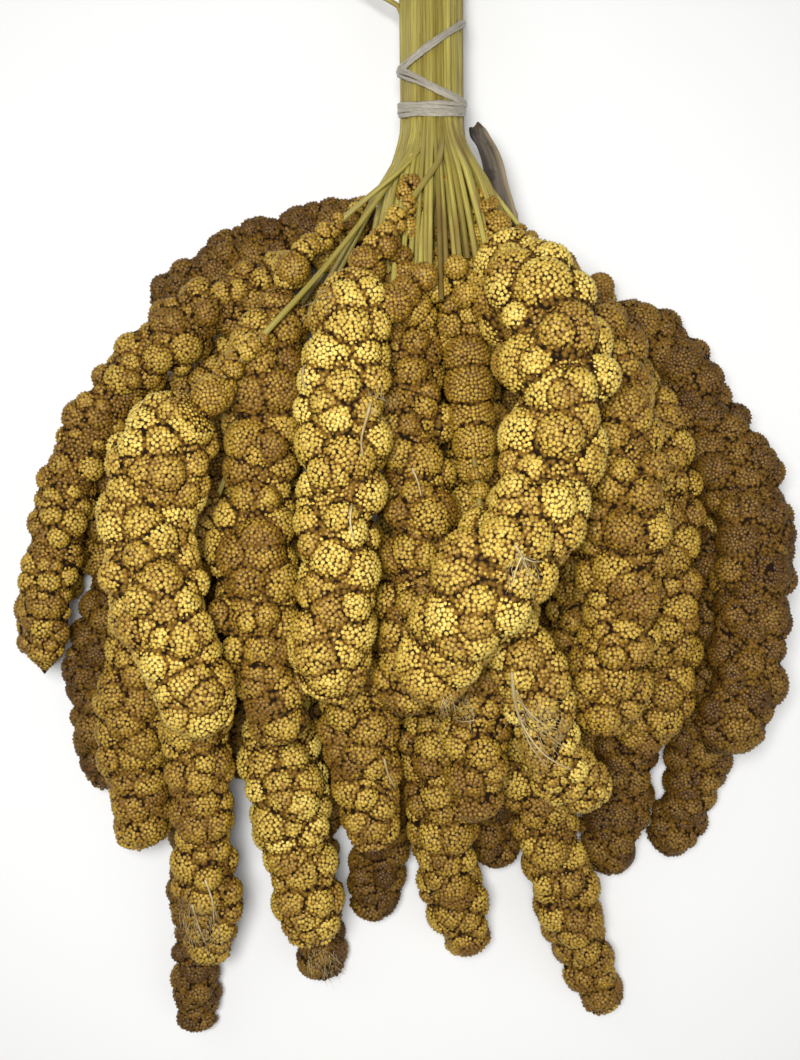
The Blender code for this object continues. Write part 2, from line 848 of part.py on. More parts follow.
def main():
    """Build the whole bunch."""
    clear_scene()
    bunch = make_collection("millet_bunch")
    finishes = {name: make_material(f"millet_{name}", colour, 0.55) for name, colour in COLOURS.items()}
    strands = plan_strands()
    deepest = Room(strands).settle()
    print(f"deepest crossing left: {deepest - GAP:.3f} mm against a gap of {GAP} mm")
    inner = []
    for number, strand in enumerate(strands, start=1):
        if strand.name == "leaf":
            build_leaf(strand, bunch, finishes["leaf"])
            continue
        if strand.plan:
            build_head(strand, number, bunch, finishes)
        if strand.plan and strand.plan.own_stem:
            line = stem_line(strand)
            stem = tube(f"stem_{strand.name}", line, STEM_RADIUS, bunch, finishes["stem"], 1)
            as_mesh(stem, bunch)
        else:
            inner.append(strand)
    build_inner_stems(inner, bunch, finishes["stem"])
    build_tie(bunch, finishes["ribbon"])
    centre_on_floor(bunch)
    for thing in bunch.objects:
        thing.data.shade_smooth()
        thing.data.set_sharp_from_angle(angle=math.radians(50))


main()
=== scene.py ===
"""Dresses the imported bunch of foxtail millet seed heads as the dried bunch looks.

Every head gets a lobed husk body worked out from its solid's own rings, covered with round
grains. The stems become striped straws with cut ends, the tie thin plies of split leaf,
and the leaf beside the bundle a wrinkled dry sheath. Sizes are in millimetres, and
meshes are made in metres.
"""

from __future__ import annotations

import json
import logging
import math
from dataclasses import dataclass, field
from enum import Enum

import bmesh
import bpy
import numpy as np
from mathutils import Matrix, Vector
from mathutils.bvhtree import BVHTree
from mathutils.kdtree import KDTree

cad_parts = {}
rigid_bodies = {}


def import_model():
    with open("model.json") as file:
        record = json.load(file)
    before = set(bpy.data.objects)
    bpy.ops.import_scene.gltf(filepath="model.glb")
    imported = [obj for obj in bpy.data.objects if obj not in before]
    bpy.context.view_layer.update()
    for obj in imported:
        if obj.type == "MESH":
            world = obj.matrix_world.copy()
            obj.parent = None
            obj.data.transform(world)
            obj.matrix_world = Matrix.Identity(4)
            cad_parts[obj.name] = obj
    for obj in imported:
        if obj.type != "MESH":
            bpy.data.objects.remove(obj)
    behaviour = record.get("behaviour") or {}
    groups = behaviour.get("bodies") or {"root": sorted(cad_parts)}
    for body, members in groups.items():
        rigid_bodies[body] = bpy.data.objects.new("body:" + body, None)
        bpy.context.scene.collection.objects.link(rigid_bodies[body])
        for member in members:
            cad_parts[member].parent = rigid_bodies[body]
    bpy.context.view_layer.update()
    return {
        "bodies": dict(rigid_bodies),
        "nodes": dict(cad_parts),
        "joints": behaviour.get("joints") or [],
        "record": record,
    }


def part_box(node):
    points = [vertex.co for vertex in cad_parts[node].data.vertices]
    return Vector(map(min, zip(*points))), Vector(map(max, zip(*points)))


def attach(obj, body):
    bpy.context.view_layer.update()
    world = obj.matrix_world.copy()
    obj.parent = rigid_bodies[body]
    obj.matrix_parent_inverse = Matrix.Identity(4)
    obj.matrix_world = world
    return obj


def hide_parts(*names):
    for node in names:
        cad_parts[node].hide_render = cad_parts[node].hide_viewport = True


LOG = logging.getLogger("millet")
MM = 0.001
BODY = "root"
UP = np.array([0.0, 0.0, 1.0])
GOLDEN = (math.sqrt(5) - 1) / 2
WELD = 0.00001
SEAM_WELD = 0.00002
FLOOR_CLEAR = 0.5
WHOLE_RINGS = range(4, 40)
GRAIN_APART = 1.24
GRAIN_HALF = 0.9
GRAIN_DEPTH = 0.95
GRAIN_ROUNDNESS = 1.75
CANDIDATES = 4.2
ABOVE_GRAIN = 0.0004
STRAW_WALL = 0.3
STRAW_HOLLOW = 0.9
LOOK_CIRCLES = ((58, 5, 20), (30, 7, 0), (6, 9, 15))
LEAST_FACING = -0.15
CLEAR_VIEW = 0.6
BAND = (12.87, 119.17, 36.8)
EYE = (1.67, -22.33, 450.0)
FLOOR_SCALE = 0.38
PICTURE_MIDDLE = (400.0, 530.0)


class Tint(Enum):
    """A head's grains' colour family: partly how the head has dried, and partly painted light, yellow for
    the heads that catch most light and brown for the lower and outer ones, where the light falls off.
    """

    YELLOW_LIT = "grains_yellow"
    GOLD = "grains_gold"
    BROWN = "grains_brown"


# Painted light: the yellow heads are the best lit ones, and heads left out of both lists get the darker
# brown finish as painted shade.
YELLOW_HEADS = ("bright_tip", "small_right", "left_bright", "centre_bright", "right_bright")
GOLD_HEADS = (
    "left_inner", "left_rim", "left_low", "left_column", "centre", "centre_long", "middle_low",
    "right_second", "right_inner", "right_column", "tip_left", "tip_middle", "tip_right",
)
TINTS = dict.fromkeys(YELLOW_HEADS, Tint.YELLOW_LIT) | dict.fromkeys(GOLD_HEADS, Tint.GOLD)


class Nodes:
    """A small helper that adds and links shader nodes in one material."""

    def __init__(self, name: str) -> None:
        """Start an empty material with an output and a Principled shader.

        Args:
            name: The material's name.
        """
        self.material = bpy.data.materials.new(name)
        self.material.use_nodes = True
        self.tree = self.material.node_tree
        self.shader = self.tree.nodes["Principled BSDF"]

    def add(self, kind: str, **settings: object) -> bpy.types.Node:
        """Add a node and set its properties.

        Args:
            kind: The node's Blender type name.
            settings: Properties to set on it.

        Returns:
            The new node.
        """
        node = self.tree.nodes.new(kind)
        for name, value in settings.items():
            setattr(node, name, value)
        return node

    def link(self, source: bpy.types.NodeSocket, target: bpy.types.NodeSocket) -> None:
        """Join two sockets."""
        self.tree.links.new(source, target)

    def place(self, scale: tuple[float, float, float]) -> bpy.types.NodeSocket:
        """Object coordinates through a Mapping node.

        Args:
            scale: Scale on each axis.

        Returns:
            The mapped vector's socket.
        """
        coordinates = self.add("ShaderNodeTexCoord")
        mapping = self.add("ShaderNodeMapping")
        mapping.inputs["Scale"].default_value = scale
        self.link(coordinates.outputs["Object"], mapping.inputs["Vector"])
        return mapping.outputs["Vector"]

    def across_and_along(self, scale: tuple[float, float, float]) -> bpy.types.NodeSocket:
        """The piece's own UV map through a Mapping node.

        Args:
            scale: Scale across the strip or straw, along it, and 1.

        Returns:
            The mapped vector's socket.
        """
        mapping = self.add("ShaderNodeMapping")
        mapping.inputs["Scale"].default_value = scale
        self.link(self.uv(), mapping.inputs["Vector"])
        return mapping.outputs["Vector"]

    def uv(self) -> bpy.types.NodeSocket:
        """The piece's own UV map."""
        return self.add("ShaderNodeUVMap", uv_map="UVMap").outputs["UV"]

    def noise(self, vector: bpy.types.NodeSocket, scale: float, detail: float) -> bpy.types.NodeSocket:
        """A noise texture's value.

        Args:
            vector: Where it is read.
            scale: The texture's scale.
            detail: How many finer layers it has.

        Returns:
            The value's socket.
        """
        node = self.add("ShaderNodeTexNoise")
        node.inputs["Scale"].default_value = scale
        node.inputs["Detail"].default_value = detail
        self.link(vector, node.inputs["Vector"])
        return node.outputs["Fac"]

    def attribute(self, name: str) -> bpy.types.NodeSocket:
        """A mesh attribute's value."""
        return self.add("ShaderNodeAttribute", attribute_name=name).outputs["Fac"]

    def surface(self, colour: bpy.types.NodeSocket, roughness: float) -> None:
        """Give the shader its colour and roughness."""
        self.link(colour, self.shader.inputs["Base Color"])
        self.shader.inputs["Roughness"].default_value = roughness

    def ramp(self, source: bpy.types.NodeSocket, stops: list[tuple[float, tuple]]) -> bpy.types.NodeSocket:
        """A colour ramp.

        Args:
            source: The value that drives it.
            stops: Position and colour of each stop, in order.

        Returns:
            The colour's socket.
        """
        node = self.add("ShaderNodeValToRGB")
        band = node.color_ramp
        while len(band.elements) < len(stops):
            band.elements.new(0.5)
        for element, (position, colour) in zip(band.elements, stops):
            element.position = position
            element.color = (*colour, 1.0)
        self.link(source, node.inputs["Fac"])
        return node.outputs["Color"]

    def mix(
        self,
        share: bpy.types.NodeSocket | float,
        first: bpy.types.NodeSocket,
        second: bpy.types.NodeSocket | tuple,
        blend: str = "MIX",
    ) -> bpy.types.NodeSocket:
        """Mix two colours.

        Args:
            share: How much of the second, a socket or a number.
            first: The first colour's socket.
            second: The second colour's socket, or a colour.
            blend: The blend mode.

        Returns:
            The mixed colour's socket.
        """
        node = self.add("ShaderNodeMix", data_type="RGBA", blend_type=blend)
        if isinstance(share, bpy.types.NodeSocket):
            self.link(share, node.inputs["Factor"])
        else:
            node.inputs["Factor"].default_value = share
        self.link(first, node.inputs[6])
        if isinstance(second, bpy.types.NodeSocket):
            self.link(second, node.inputs[7])
        else:
            node.inputs[7].default_value = (*second, 1.0)
        return node.outputs[2]

    def bump(self, height: bpy.types.NodeSocket, distance: float) -> None:
        """Drive the shader's normal from a height.

        Args:
            height: The height's socket.
            distance: How deep the relief is, in metres.
        """
        node = self.add("ShaderNodeBump")
        node.inputs["Distance"].default_value = distance
        self.link(height, node.inputs["Height"])
        self.link(node.outputs["Normal"], self.shader.inputs["Normal"])


@dataclass(frozen=True)
class GrainFinish:
    """Glossy millet grains: pale where fullest, and brown round each grain's edge, which is painted shade
    in the gaps between grains.
    """

    name: str
    dark: tuple[float, float, float]
    middle: tuple[float, float, float]
    bright: tuple[float, float, float]
    edge: tuple[float, float, float]
    roughness: float = 0.42

    def material(self) -> bpy.types.Material:
        """The grains' material: colour by grain and by patch, where the grain tone also carries painted
        shade in the lobes' creases and troughs, and browner toward each grain's rim as painted shade
        between grains.
        """
        nodes = Nodes(self.name)
        patches = nodes.noise(nodes.place((1.0, 1.0, 1.0)), 38.0, 3.0)
        blend = nodes.add("ShaderNodeMath", operation="MULTIPLY_ADD")
        nodes.link(patches, blend.inputs[0])
        blend.inputs[1].default_value = 0.9
        shift = nodes.add("ShaderNodeMath", operation="SUBTRACT")
        nodes.link(nodes.attribute("grain"), shift.inputs[0])
        shift.inputs[1].default_value = 0.45
        nodes.link(shift.outputs["Value"], blend.inputs[2])
        colour = nodes.ramp(
            blend.outputs["Value"], [(0.1, self.dark), (0.45, self.middle), (0.9, self.bright)]
        )
        # Painted shade: each grain is darkened toward the edge colour near its rim, standing for the shade
        # in the gaps between grains.
        edge = nodes.ramp(nodes.attribute("rim"), [(0.62, (0.0, 0.0, 0.0)), (1.0, (1.0, 1.0, 1.0))])
        nodes.surface(nodes.mix(edge, colour, self.edge), self.roughness)
        nodes.shader.inputs["Specular IOR Level"].default_value = 0.32
        return nodes.material


@dataclass(frozen=True)
class HuskFinish:
    """The dark body under the grains: its near-black colour is painted shade for the gaps between grains.
    """

    name: str
    dark: tuple[float, float, float]
    light: tuple[float, float, float]
    cells: float = 640.0

    def material(self) -> bpy.types.Material:
        """The husk's material: dark brown with a pattern of grain-sized cells, darkest at the cells' edges
        as painted shade between grains.
        """
        nodes = Nodes(self.name)
        cells = nodes.add("ShaderNodeTexVoronoi", feature="F1")
        cells.inputs["Scale"].default_value = self.cells
        nodes.link(nodes.place((1.0, 1.0, 1.0)), cells.inputs["Vector"])
        # Painted shade: light cell middles go to near black at the cell edges, like the shaded gaps
        # between grains.
        colour = nodes.ramp(cells.outputs["Distance"], [(0.25, self.light), (0.7, self.dark)])
        nodes.surface(colour, 0.9)
        nodes.shader.inputs["Specular IOR Level"].default_value = 0.08
        height = nodes.add("ShaderNodeMath", operation="SUBTRACT")
        height.inputs[0].default_value = 1.0
        nodes.link(cells.outputs["Distance"], height.inputs[1])
        nodes.bump(height.outputs["Value"], 0.0006)
        return nodes.material


@dataclass(frozen=True)
class StrawFinish:
    """Satin straw with fine stripes along it."""

    name: str
    pale: tuple[float, float, float]
    deep: tuple[float, float, float]
    worn: tuple[float, float, float]
    stripes: float = 9.0

    def material(self) -> bpy.types.Material:
        """The straw's material, striped along the piece's own UV map."""
        nodes = Nodes(self.name)
        fibres = nodes.noise(nodes.across_and_along((self.stripes, 0.06, 1.0)), 2.2, 4.0)
        stain = nodes.noise(nodes.place((1.0, 0.25, 1.0)), 95.0, 3.0)
        colour = nodes.ramp(fibres, [(0.32, self.deep), (0.62, self.pale)])
        spots = nodes.ramp(stain, [(0.52, (0.0, 0.0, 0.0)), (0.74, (0.75, 0.75, 0.75))])
        shaded = nodes.mix(spots, colour, self.worn)
        nodes.surface(nodes.mix(nodes.attribute("tone"), shaded, self.deep, "MULTIPLY"), 0.42)
        nodes.bump(fibres, 0.00012)
        return nodes.material


@dataclass(frozen=True)
class RibbonFinish:
    """Thin split leaf: pale, glossy and finely pleated."""

    name: str
    pale: tuple[float, float, float]
    deep: tuple[float, float, float]

    def material(self) -> bpy.types.Material:
        """The ribbon's material, with fibres along the strip."""
        nodes = Nodes(self.name)
        fibres = nodes.noise(nodes.across_and_along((0.25, 11.0, 1.0)), 2.4, 5.0)
        nodes.surface(nodes.ramp(fibres, [(0.3, self.deep), (0.58, self.pale)]), 0.33)
        nodes.bump(fibres, 0.00025)
        return nodes.material


@dataclass(frozen=True)
class DryLeafFinish:
    """A withered leaf sheath: grey brown, veined and blotched, one edge pale and one near black, the
    near-black side beside the bundle being painted shadow.
    """

    name: str
    pale: tuple[float, float, float]
    deep: tuple[float, float, float]
    blotch_and_shade: tuple[float, float, float]
    edge: tuple[float, float, float]

    def material(self) -> bpy.types.Material:
        """The leaf's material: U runs across the blade and V along it."""
        nodes = Nodes(self.name)
        veins = nodes.noise(nodes.across_and_along((9.0, 0.4, 1.0)), 1.6, 4.0)
        patches = nodes.noise(nodes.place((1.0, 1.0, 1.0)), 210.0, 4.0)
        colour = nodes.ramp(veins, [(0.3, self.deep), (0.66, self.pale)])
        spots = nodes.ramp(patches, [(0.48, (0.0, 0.0, 0.0)), (0.62, (0.9, 0.9, 0.9))])
        across = nodes.add("ShaderNodeSeparateXYZ")
        nodes.link(nodes.uv(), across.inputs["Vector"])
        rim = nodes.ramp(across.outputs["X"], [(0.7, (0.0, 0.0, 0.0)), (0.92, (0.85, 0.85, 0.85))])
        # Painted shadow: the side of the blade beside the bundle, where U is low, takes the near-black
        # blotch colour.
        inside = nodes.ramp(across.outputs["X"], [(0.16, (1.0, 1.0, 1.0)), (0.4, (0.0, 0.0, 0.0))])
        shaded = nodes.mix(inside, nodes.mix(spots, colour, self.blotch_and_shade), self.blotch_and_shade)
        nodes.surface(nodes.mix(rim, shaded, self.edge), 0.62)
        nodes.bump(veins, 0.0004)
        return nodes.material


@dataclass(frozen=True)
class FloorFinish:
    """A plain pale floor."""

    colour: tuple[float, float, float] = (0.86, 0.86, 0.85)

    def material(self) -> bpy.types.Material:
        """The floor's matte material."""
        nodes = Nodes("pale_floor")
        nodes.shader.inputs["Base Color"].default_value = (*self.colour, 1.0)
        nodes.shader.inputs["Roughness"].default_value = 0.8
        return nodes.material


def keep_mesh(
    name: str, shape: bmesh.types.BMesh, finishes: list[bpy.types.Material], smooth: bool = True
) -> bpy.types.Object:
    """Make an object from a bmesh, at the origin, and free the bmesh.

    Args:
        name: The piece's name.
        shape: Its finished bmesh.
        finishes: Its materials, in slot order.
        smooth: Whether its faces are shaded smooth.

    Returns:
        The linked object.
    """
    mesh = bpy.data.meshes.new(name)
    shape.to_mesh(mesh)
    shape.free()
    for finish in finishes:
        mesh.materials.append(finish)
    mesh.polygons.foreach_set("use_smooth", [smooth] * len(mesh.polygons))
    piece = bpy.data.objects.new(name, mesh)
    bpy.context.scene.collection.objects.link(piece)
    return piece


def mesh_arrays(shape: bmesh.types.BMesh) -> tuple[np.ndarray, np.ndarray]:
    """Vertex places and triangle corners of a bmesh.

    Args:
        shape: A bmesh of triangles.

    Returns:
        Places as n x 3, and corners as m x 3.
    """
    shape.verts.index_update()
    places = np.array([tuple(vertex.co) for vertex in shape.verts])
    corners = np.array([[vertex.index for vertex in face.verts] for face in shape.faces])
    return places, corners


def unit(vectors: np.ndarray) -> np.ndarray:
    """The same directions at length one."""
    return vectors / np.maximum(np.linalg.norm(vectors, axis=-1, keepdims=True), 1e-12)


def resample(points: np.ndarray, count: int) -> np.ndarray:
    """Even points on a smooth curve through the given ones.

    Args:
        points: The curve's points, n x 3.
        count: How many even points are wanted.

    Returns:
        The even points, count x 3.
    """
    padded = np.vstack([2 * points[0] - points[1], points, 2 * points[-1] - points[-2]])
    a, b, c, d = (padded[k : len(padded) - 3 + k, None, :] for k in range(4))
    u = np.linspace(0.0, 1.0, 16, endpoint=False)[None, :, None]
    square = (2 * a - 5 * b + 4 * c - d) * u**2
    cube = (3 * b - a - 3 * c + d) * u**3
    fine = 0.5 * (2 * b + (c - a) * u + square + cube)
    fine = np.vstack([fine.reshape(-1, 3), points[-1]])
    along = np.concatenate([[0.0], np.cumsum(np.linalg.norm(np.diff(fine, axis=0), axis=1))])
    wanted = np.linspace(0.0, along[-1], count)
    return np.column_stack([np.interp(wanted, along, fine[:, k]) for k in range(3)])


def carried_frames(axis: np.ndarray) -> tuple[np.ndarray, np.ndarray, np.ndarray]:
    """Tangents and two cross directions along a curve, carried without twist.

    Args:
        axis: The curve's points, n x 3.

    Returns:
        Tangents, sides and ups, each n x 3.
    """
    tangents = unit(np.gradient(axis, axis=0))
    side = np.cross(tangents[0], UP)
    if np.linalg.norm(side) < 0.05:
        side = np.array([1.0, 0.0, 0.0])
    sides = []
    for tangent in tangents:
        side = side - tangent * np.dot(side, tangent)
        side = side / np.linalg.norm(side)
        sides.append(side)
    sides = np.array(sides)
    return tangents, sides, np.cross(sides, tangents)


def ring_middle(ring: np.ndarray, along: np.ndarray, count: int) -> np.ndarray:
    """The middle of a ring, also where part of it is pressed into the floor and missing.

    Args:
        ring: The ring's points that stand clear of the floor.
        along: The head's horizontal direction there.
        count: How many points a whole ring has.

    Returns:
        The middle point.
    """
    middle = ring.mean(axis=0)
    if len(ring) < 4 or len(ring) >= count:
        return middle
    side = unit(np.cross(along * np.array([1.0, 1.0, 0.0]), UP))
    across = (ring - middle) @ side
    height = ring[:, 2]
    table = np.column_stack([2 * across, 2 * height, np.ones(len(ring))])
    (offset, level, _), *_ = np.linalg.lstsq(table, across**2 + height**2, rcond=None)
    fitted = middle + side * offset
    fitted[2] = max(level, height.max() / 2)
    return fitted


def read_rings(node: bpy.types.Object, start_near: np.ndarray) -> list[np.ndarray]:
    """A head solid's rings of points that stand clear of the floor, one end to the other.

    Args:
        node: The head's CAD node.
        start_near: The place, in mm, that the first pole is nearest to.

    Returns:
        One array of points a ring, in mm; the first and last hold one point each.
    """
    shape = bmesh.new()
    shape.from_mesh(node.data)
    bmesh.ops.remove_doubles(shape, verts=shape.verts, dist=WELD)
    shape.verts.index_update()
    clear = [vertex for vertex in shape.verts if vertex.co.z > FLOOR_CLEAR * MM]
    poles = sorted(clear, key=lambda vertex: (-len(vertex.link_edges), vertex.index))[:2]
    poles.sort(key=lambda vertex: (vertex.co / MM - Vector(start_near)).length)
    usable = set(clear)
    front = [poles[0]]
    seen = {poles[0]}
    rings = []
    while front and poles[1] not in front:
        rings.append(np.array([tuple(vertex.co / MM) for vertex in front]))
        reached = {edge.other_vert(vertex) for vertex in front for edge in vertex.link_edges}
        front = sorted((reached & usable) - seen, key=lambda vertex: vertex.index)
        seen.update(front)
    rings.append(np.array([tuple(poles[1].co / MM)]))
    shape.free()
    return [ring for ring in rings if len(ring) == 1 or len(ring) in WHOLE_RINGS]


def stem_middle(node: bpy.types.Object) -> np.ndarray:
    """The middle line of a stem's node, from its cut end.

    Args:
        node: The stem's CAD node.

    Returns:
        The line's points in mm.
    """
    shape = bmesh.new()
    shape.from_mesh(node.data)
    bmesh.ops.remove_doubles(shape, verts=shape.verts, dist=WELD)
    shape.verts.index_update()
    first = max(shape.verts, key=lambda vertex: vertex.co.y)
    near = sorted(shape.verts, key=lambda vertex: (vertex.co - first.co).length)[:6]
    rings = []
    seen = set(near)
    front = near
    while front:
        rings.append(np.mean([tuple(vertex.co / MM) for vertex in front], axis=0))
        reached = {edge.other_vert(vertex) for vertex in front for edge in vertex.link_edges}
        front = sorted(reached - seen, key=lambda vertex: vertex.index)
        seen.update(front)
    shape.free()
    return np.array(rings)


def join_in(shape: bmesh.types.BMesh, part: bmesh.types.BMesh) -> None:
    """Add one bmesh to another, and free the added one."""
    spare = bpy.data.meshes.new("part")
    part.to_mesh(spare)
    part.free()
    shape.from_mesh(spare)
    bpy.data.meshes.remove(spare)


def cut_face(straw: bmesh.types.BMesh, start: Vector) -> bmesh.types.BMFace:
    """A straw's end face that lies nearest to its cut end.

    Args:
        straw: The straw's bmesh.
        start: The cut end's middle, in metres.

    Returns:
        The face.
    """
    ends = [face for face in straw.faces if len(face.verts) > 4]
    return min(ends, key=lambda face: (face.calc_center_median() - start).length)


def add_straw(
    shape: bmesh.types.BMesh,
    line: np.ndarray,
    radius: float,
    sides: int,
    seed: int,
    step: float = 4.0,
    taper: float = 0.0,
    hollow: bool = True,
) -> None:
    """Add a round straw along a line to a bmesh.

    Args:
        shape: The bmesh that takes the straw.
        line: The middle line in mm, from the cut end.
        radius: Its greatest radius.
        sides: How many sides it has.
        seed: The seed for its thickness and tone.
        step: The distance between its rings.
        taper: How much thinner its far end is, as a share.
        hollow: Whether its first end is cut hollow.
    """
    draw = np.random.default_rng(seed)
    length = float(np.linalg.norm(np.diff(line, axis=0), axis=1).sum())
    steps = max(5, int(length / step))
    axis = resample(line, steps)
    _, side_ways, up_ways = carried_frames(axis)
    straw = bmesh.new()
    bmesh.ops.create_grid(straw, x_segments=sides, y_segments=steps - 1, size=1.0, calc_uvs=True)
    layer = straw.loops.layers.uv.active or straw.loops.layers.uv.new("UVMap")
    shift = float(draw.uniform(0.0, 40.0))
    for face in straw.faces:
        for loop in face.loops:
            co = loop.vert.co
            loop[layer].uv = ((co.x + 1) / 2 + shift, (co.y + 1) / 2 * length / 3)
    swell = 1 - 0.04 * np.sin(np.linspace(0, 9, steps) + seed)
    radii = radius * draw.uniform(0.84, 1.0) * swell * np.linspace(1.0, 1.0 - taper, steps)
    for vertex in straw.verts:
        row = round((vertex.co.y + 1) / 2 * (steps - 1))
        angle = math.pi * (vertex.co.x + 1)
        way = math.cos(angle) * side_ways[row] + math.sin(angle) * up_ways[row]
        vertex.co = Vector((axis[row] + radii[row] * way) * MM)
    bmesh.ops.remove_doubles(straw, verts=straw.verts, dist=SEAM_WELD)
    bmesh.ops.holes_fill(straw, edges=straw.edges, sides=0)
    if hollow:
        start = Vector(axis[0] * MM)
        end = cut_face(straw, start)
        bmesh.ops.inset_region(straw, faces=[end], thickness=STRAW_WALL * MM, use_even_offset=True)
        inward = Vector((axis[1] - axis[0]) * MM).normalized() * STRAW_HOLLOW * MM
        bmesh.ops.translate(straw, verts=list(cut_face(straw, start).verts), vec=inward)
    bmesh.ops.recalc_face_normals(straw, faces=straw.faces)
    tone = straw.verts.layers.float.new("tone")
    value = float(draw.uniform(0.0, 0.7))
    for vertex in straw.verts:
        vertex[tone] = value
    join_in(shape, straw)


@dataclass
class SeedHead:
    """One millet head: a lobed husk body under a coat of round grains."""

    name: str
    tint: Tint
    node: bpy.types.Object
    tie_place: np.ndarray
    seed: int
    sides: int = 34
    rows: int = 62
    stations: int = 160
    peak_share: float = 0.87
    lobe_sizes: tuple[float, float] = (4.8, 8.8)
    small_sizes: tuple[float, float] = (3.8, 6.8)
    lobe_tops: tuple[float, float] = (0.88, 1.08)
    small_tops: tuple[float, float] = (0.68, 0.93)
    lobe_turn: float = 0.2
    small_turn: float = 0.28
    stray: float = 0.6
    trough: float = 0.66
    crest: float = 1.06
    coat: float = 0.7
    usual_girth: float = 14.0
    crease: float = 0.1
    axis: np.ndarray = field(init=False)
    radii: np.ndarray = field(init=False)
    lobes: np.ndarray = field(init=False)
    sizes: np.ndarray = field(init=False)
    lobe_tones: np.ndarray = field(init=False)

    def __post_init__(self) -> None:
        """Read the solid's rings and set out the lobes on them."""
        self.draw = np.random.default_rng(self.seed)
        rings = read_rings(self.node, self.tie_place)
        whole = rings[-1][0] - rings[0][0]
        centres = np.array([ring_middle(ring, whole, 12) for ring in rings])
        middle = centres.copy()
        for _ in range(2):
            middle[1:-1] = 0.25 * middle[:-2] + 0.5 * middle[1:-1] + 0.25 * middle[2:]
        reaches = [np.linalg.norm(ring - centre, axis=1) for ring, centre in zip(rings, middle)]
        widest = np.array([reach.max() for reach in reaches])
        widest[0] = widest[-1] = 0.0
        widest[2:-2] = 0.25 * widest[1:-3] + 0.5 * widest[2:-2] + 0.25 * widest[3:-1]
        self.place_lobes(rings, middle, widest)
        steps = np.concatenate([[0.0], np.cumsum(np.linalg.norm(np.diff(middle, axis=0), axis=1))])
        self.length = steps[-1]
        self.axis = resample(middle, self.stations)
        self.radii = np.interp(np.linspace(0.0, self.length, self.stations), steps, widest)
        self.tangents, self.side_ways, self.up_ways = carried_frames(self.axis)
        self.slopes = np.gradient(self.radii, self.length / (self.stations - 1))

    def place_lobes(self, rings: list[np.ndarray], middle: np.ndarray, widest: np.ndarray) -> None:
        """Put a ball under every high point of the solid and a smaller one under every low point.

        Args:
            rings: The solid's rings of points.
            middle: The axis point of each ring.
            widest: The largest reach in each ring.
        """
        places = []
        sizes = []
        fatness = float(np.median(widest)) / self.usual_girth
        for level in range(1, len(rings) - 1):
            way = unit(middle[level + 1] - middle[level - 1])
            step = np.linalg.norm(middle[level + 1] - middle[level - 1]) / 2
            side = unit(np.cross(way, UP))
            over = np.cross(side, way)
            for point in rings[level]:
                outward = point - middle[level]
                outward = outward - way * np.dot(outward, way)
                reach = float(np.linalg.norm(outward))
                high = reach > self.peak_share * widest[level]
                angle = math.atan2(np.dot(outward, over), np.dot(outward, side))
                angle += self.draw.normal(0.0, self.lobe_turn if high else self.small_turn)
                outward = math.cos(angle) * side + math.sin(angle) * over
                size = self.draw.uniform(*(self.lobe_sizes if high else self.small_sizes))
                size = min(size * fatness, 0.85 * widest[level])
                top = widest[level] * self.draw.uniform(*(self.lobe_tops if high else self.small_tops))
                along = step * (self.draw.uniform(-self.stray, self.stray) + (0.0 if high else 0.5))
                places.append(middle[level] + outward * (top - size) + way * along)
                sizes.append(size)
        self.lobes = np.array(places)
        self.sizes = np.array(sizes)
        self.lobe_tones = self.draw.uniform(-0.5, 0.5, len(sizes))

    def surface(self, shares: np.ndarray, angles: np.ndarray) -> tuple[np.ndarray, ...]:
        """The lobed outside at the given places.

        Args:
            shares: Shares of the head's length, n values.
            angles: Angles round the axis in radians, n values.

        Returns:
            Axis points, outward ways, reaches, normals, the lobe that each belongs to, and
            how far the next lobe lies under it, in mm.
        """
        stations = np.linspace(0.0, 1.0, len(self.axis))

        def along(values: np.ndarray) -> np.ndarray:
            """Values of the axis stations read at the shares."""
            if values.ndim == 1:
                return np.interp(shares, stations, values)
            return np.column_stack([np.interp(shares, stations, values[:, k]) for k in range(3)])

        place = along(self.axis)
        outward = unit(
            np.cos(angles)[:, None] * along(self.side_ways) + np.sin(angles)[:, None] * along(self.up_ways)
        )
        limit = along(self.radii)
        reaches = np.zeros(len(shares))
        owners = np.full(len(shares), -1)
        under = np.zeros(len(shares))
        for start in range(0, len(shares), 2000):
            part = slice(start, start + 2000)
            towards = self.lobes[None] - place[part, None]
            ahead = np.einsum("nkj,nj->nk", towards, outward[part])
            inside = ahead**2 - (towards**2).sum(axis=2) + self.sizes**2
            reach = np.where(inside > 0.0, ahead + np.sqrt(np.maximum(inside, 0.0)), 0.0)
            best = reach.argmax(axis=1)
            reaches[part] = reach[np.arange(len(best)), best]
            owners[part] = best
            reach[np.arange(len(best)), best] = 0.0
            under[part] = reaches[part] - reach.max(axis=1)
        spheres = unit(place + outward * reaches[:, None] - self.lobes[owners])
        low = reaches < self.trough * limit
        high = reaches > self.crest * limit
        revolved = unit(outward - along(self.tangents) * along(self.slopes)[:, None])
        reaches = np.clip(reaches, self.trough * limit, self.crest * limit)
        normals = np.where((low | high)[:, None], revolved, spheres)
        return place, outward, reaches, normals, np.where(low, -1, owners), under

    def build_husk(self) -> bmesh.types.BMesh:
        """The lobed body under the grains.

        Returns:
            A bmesh in metres, its first pole at the stem.
        """
        shape = bmesh.new()
        bmesh.ops.create_uvsphere(shape, u_segments=self.sides, v_segments=self.rows, radius=1.0)
        balls = np.array([tuple(vertex.co) for vertex in shape.verts])
        shares = np.arccos(np.clip(balls[:, 2], -1.0, 1.0)) / math.pi
        angles = np.arctan2(balls[:, 1], balls[:, 0])
        place, outward, reaches, *_ = self.surface(shares, angles)
        reaches = np.maximum(reaches - self.coat, 0.0)
        points = place + outward * reaches[:, None]
        points[:, 2] = np.maximum(points[:, 2], 0.15)
        for vertex, point in zip(shape.verts, points):
            vertex.co = Vector(point * MM)
        bmesh.ops.triangulate(shape, faces=shape.faces)
        bmesh.ops.recalc_face_normals(shape, faces=shape.faces)
        return shape

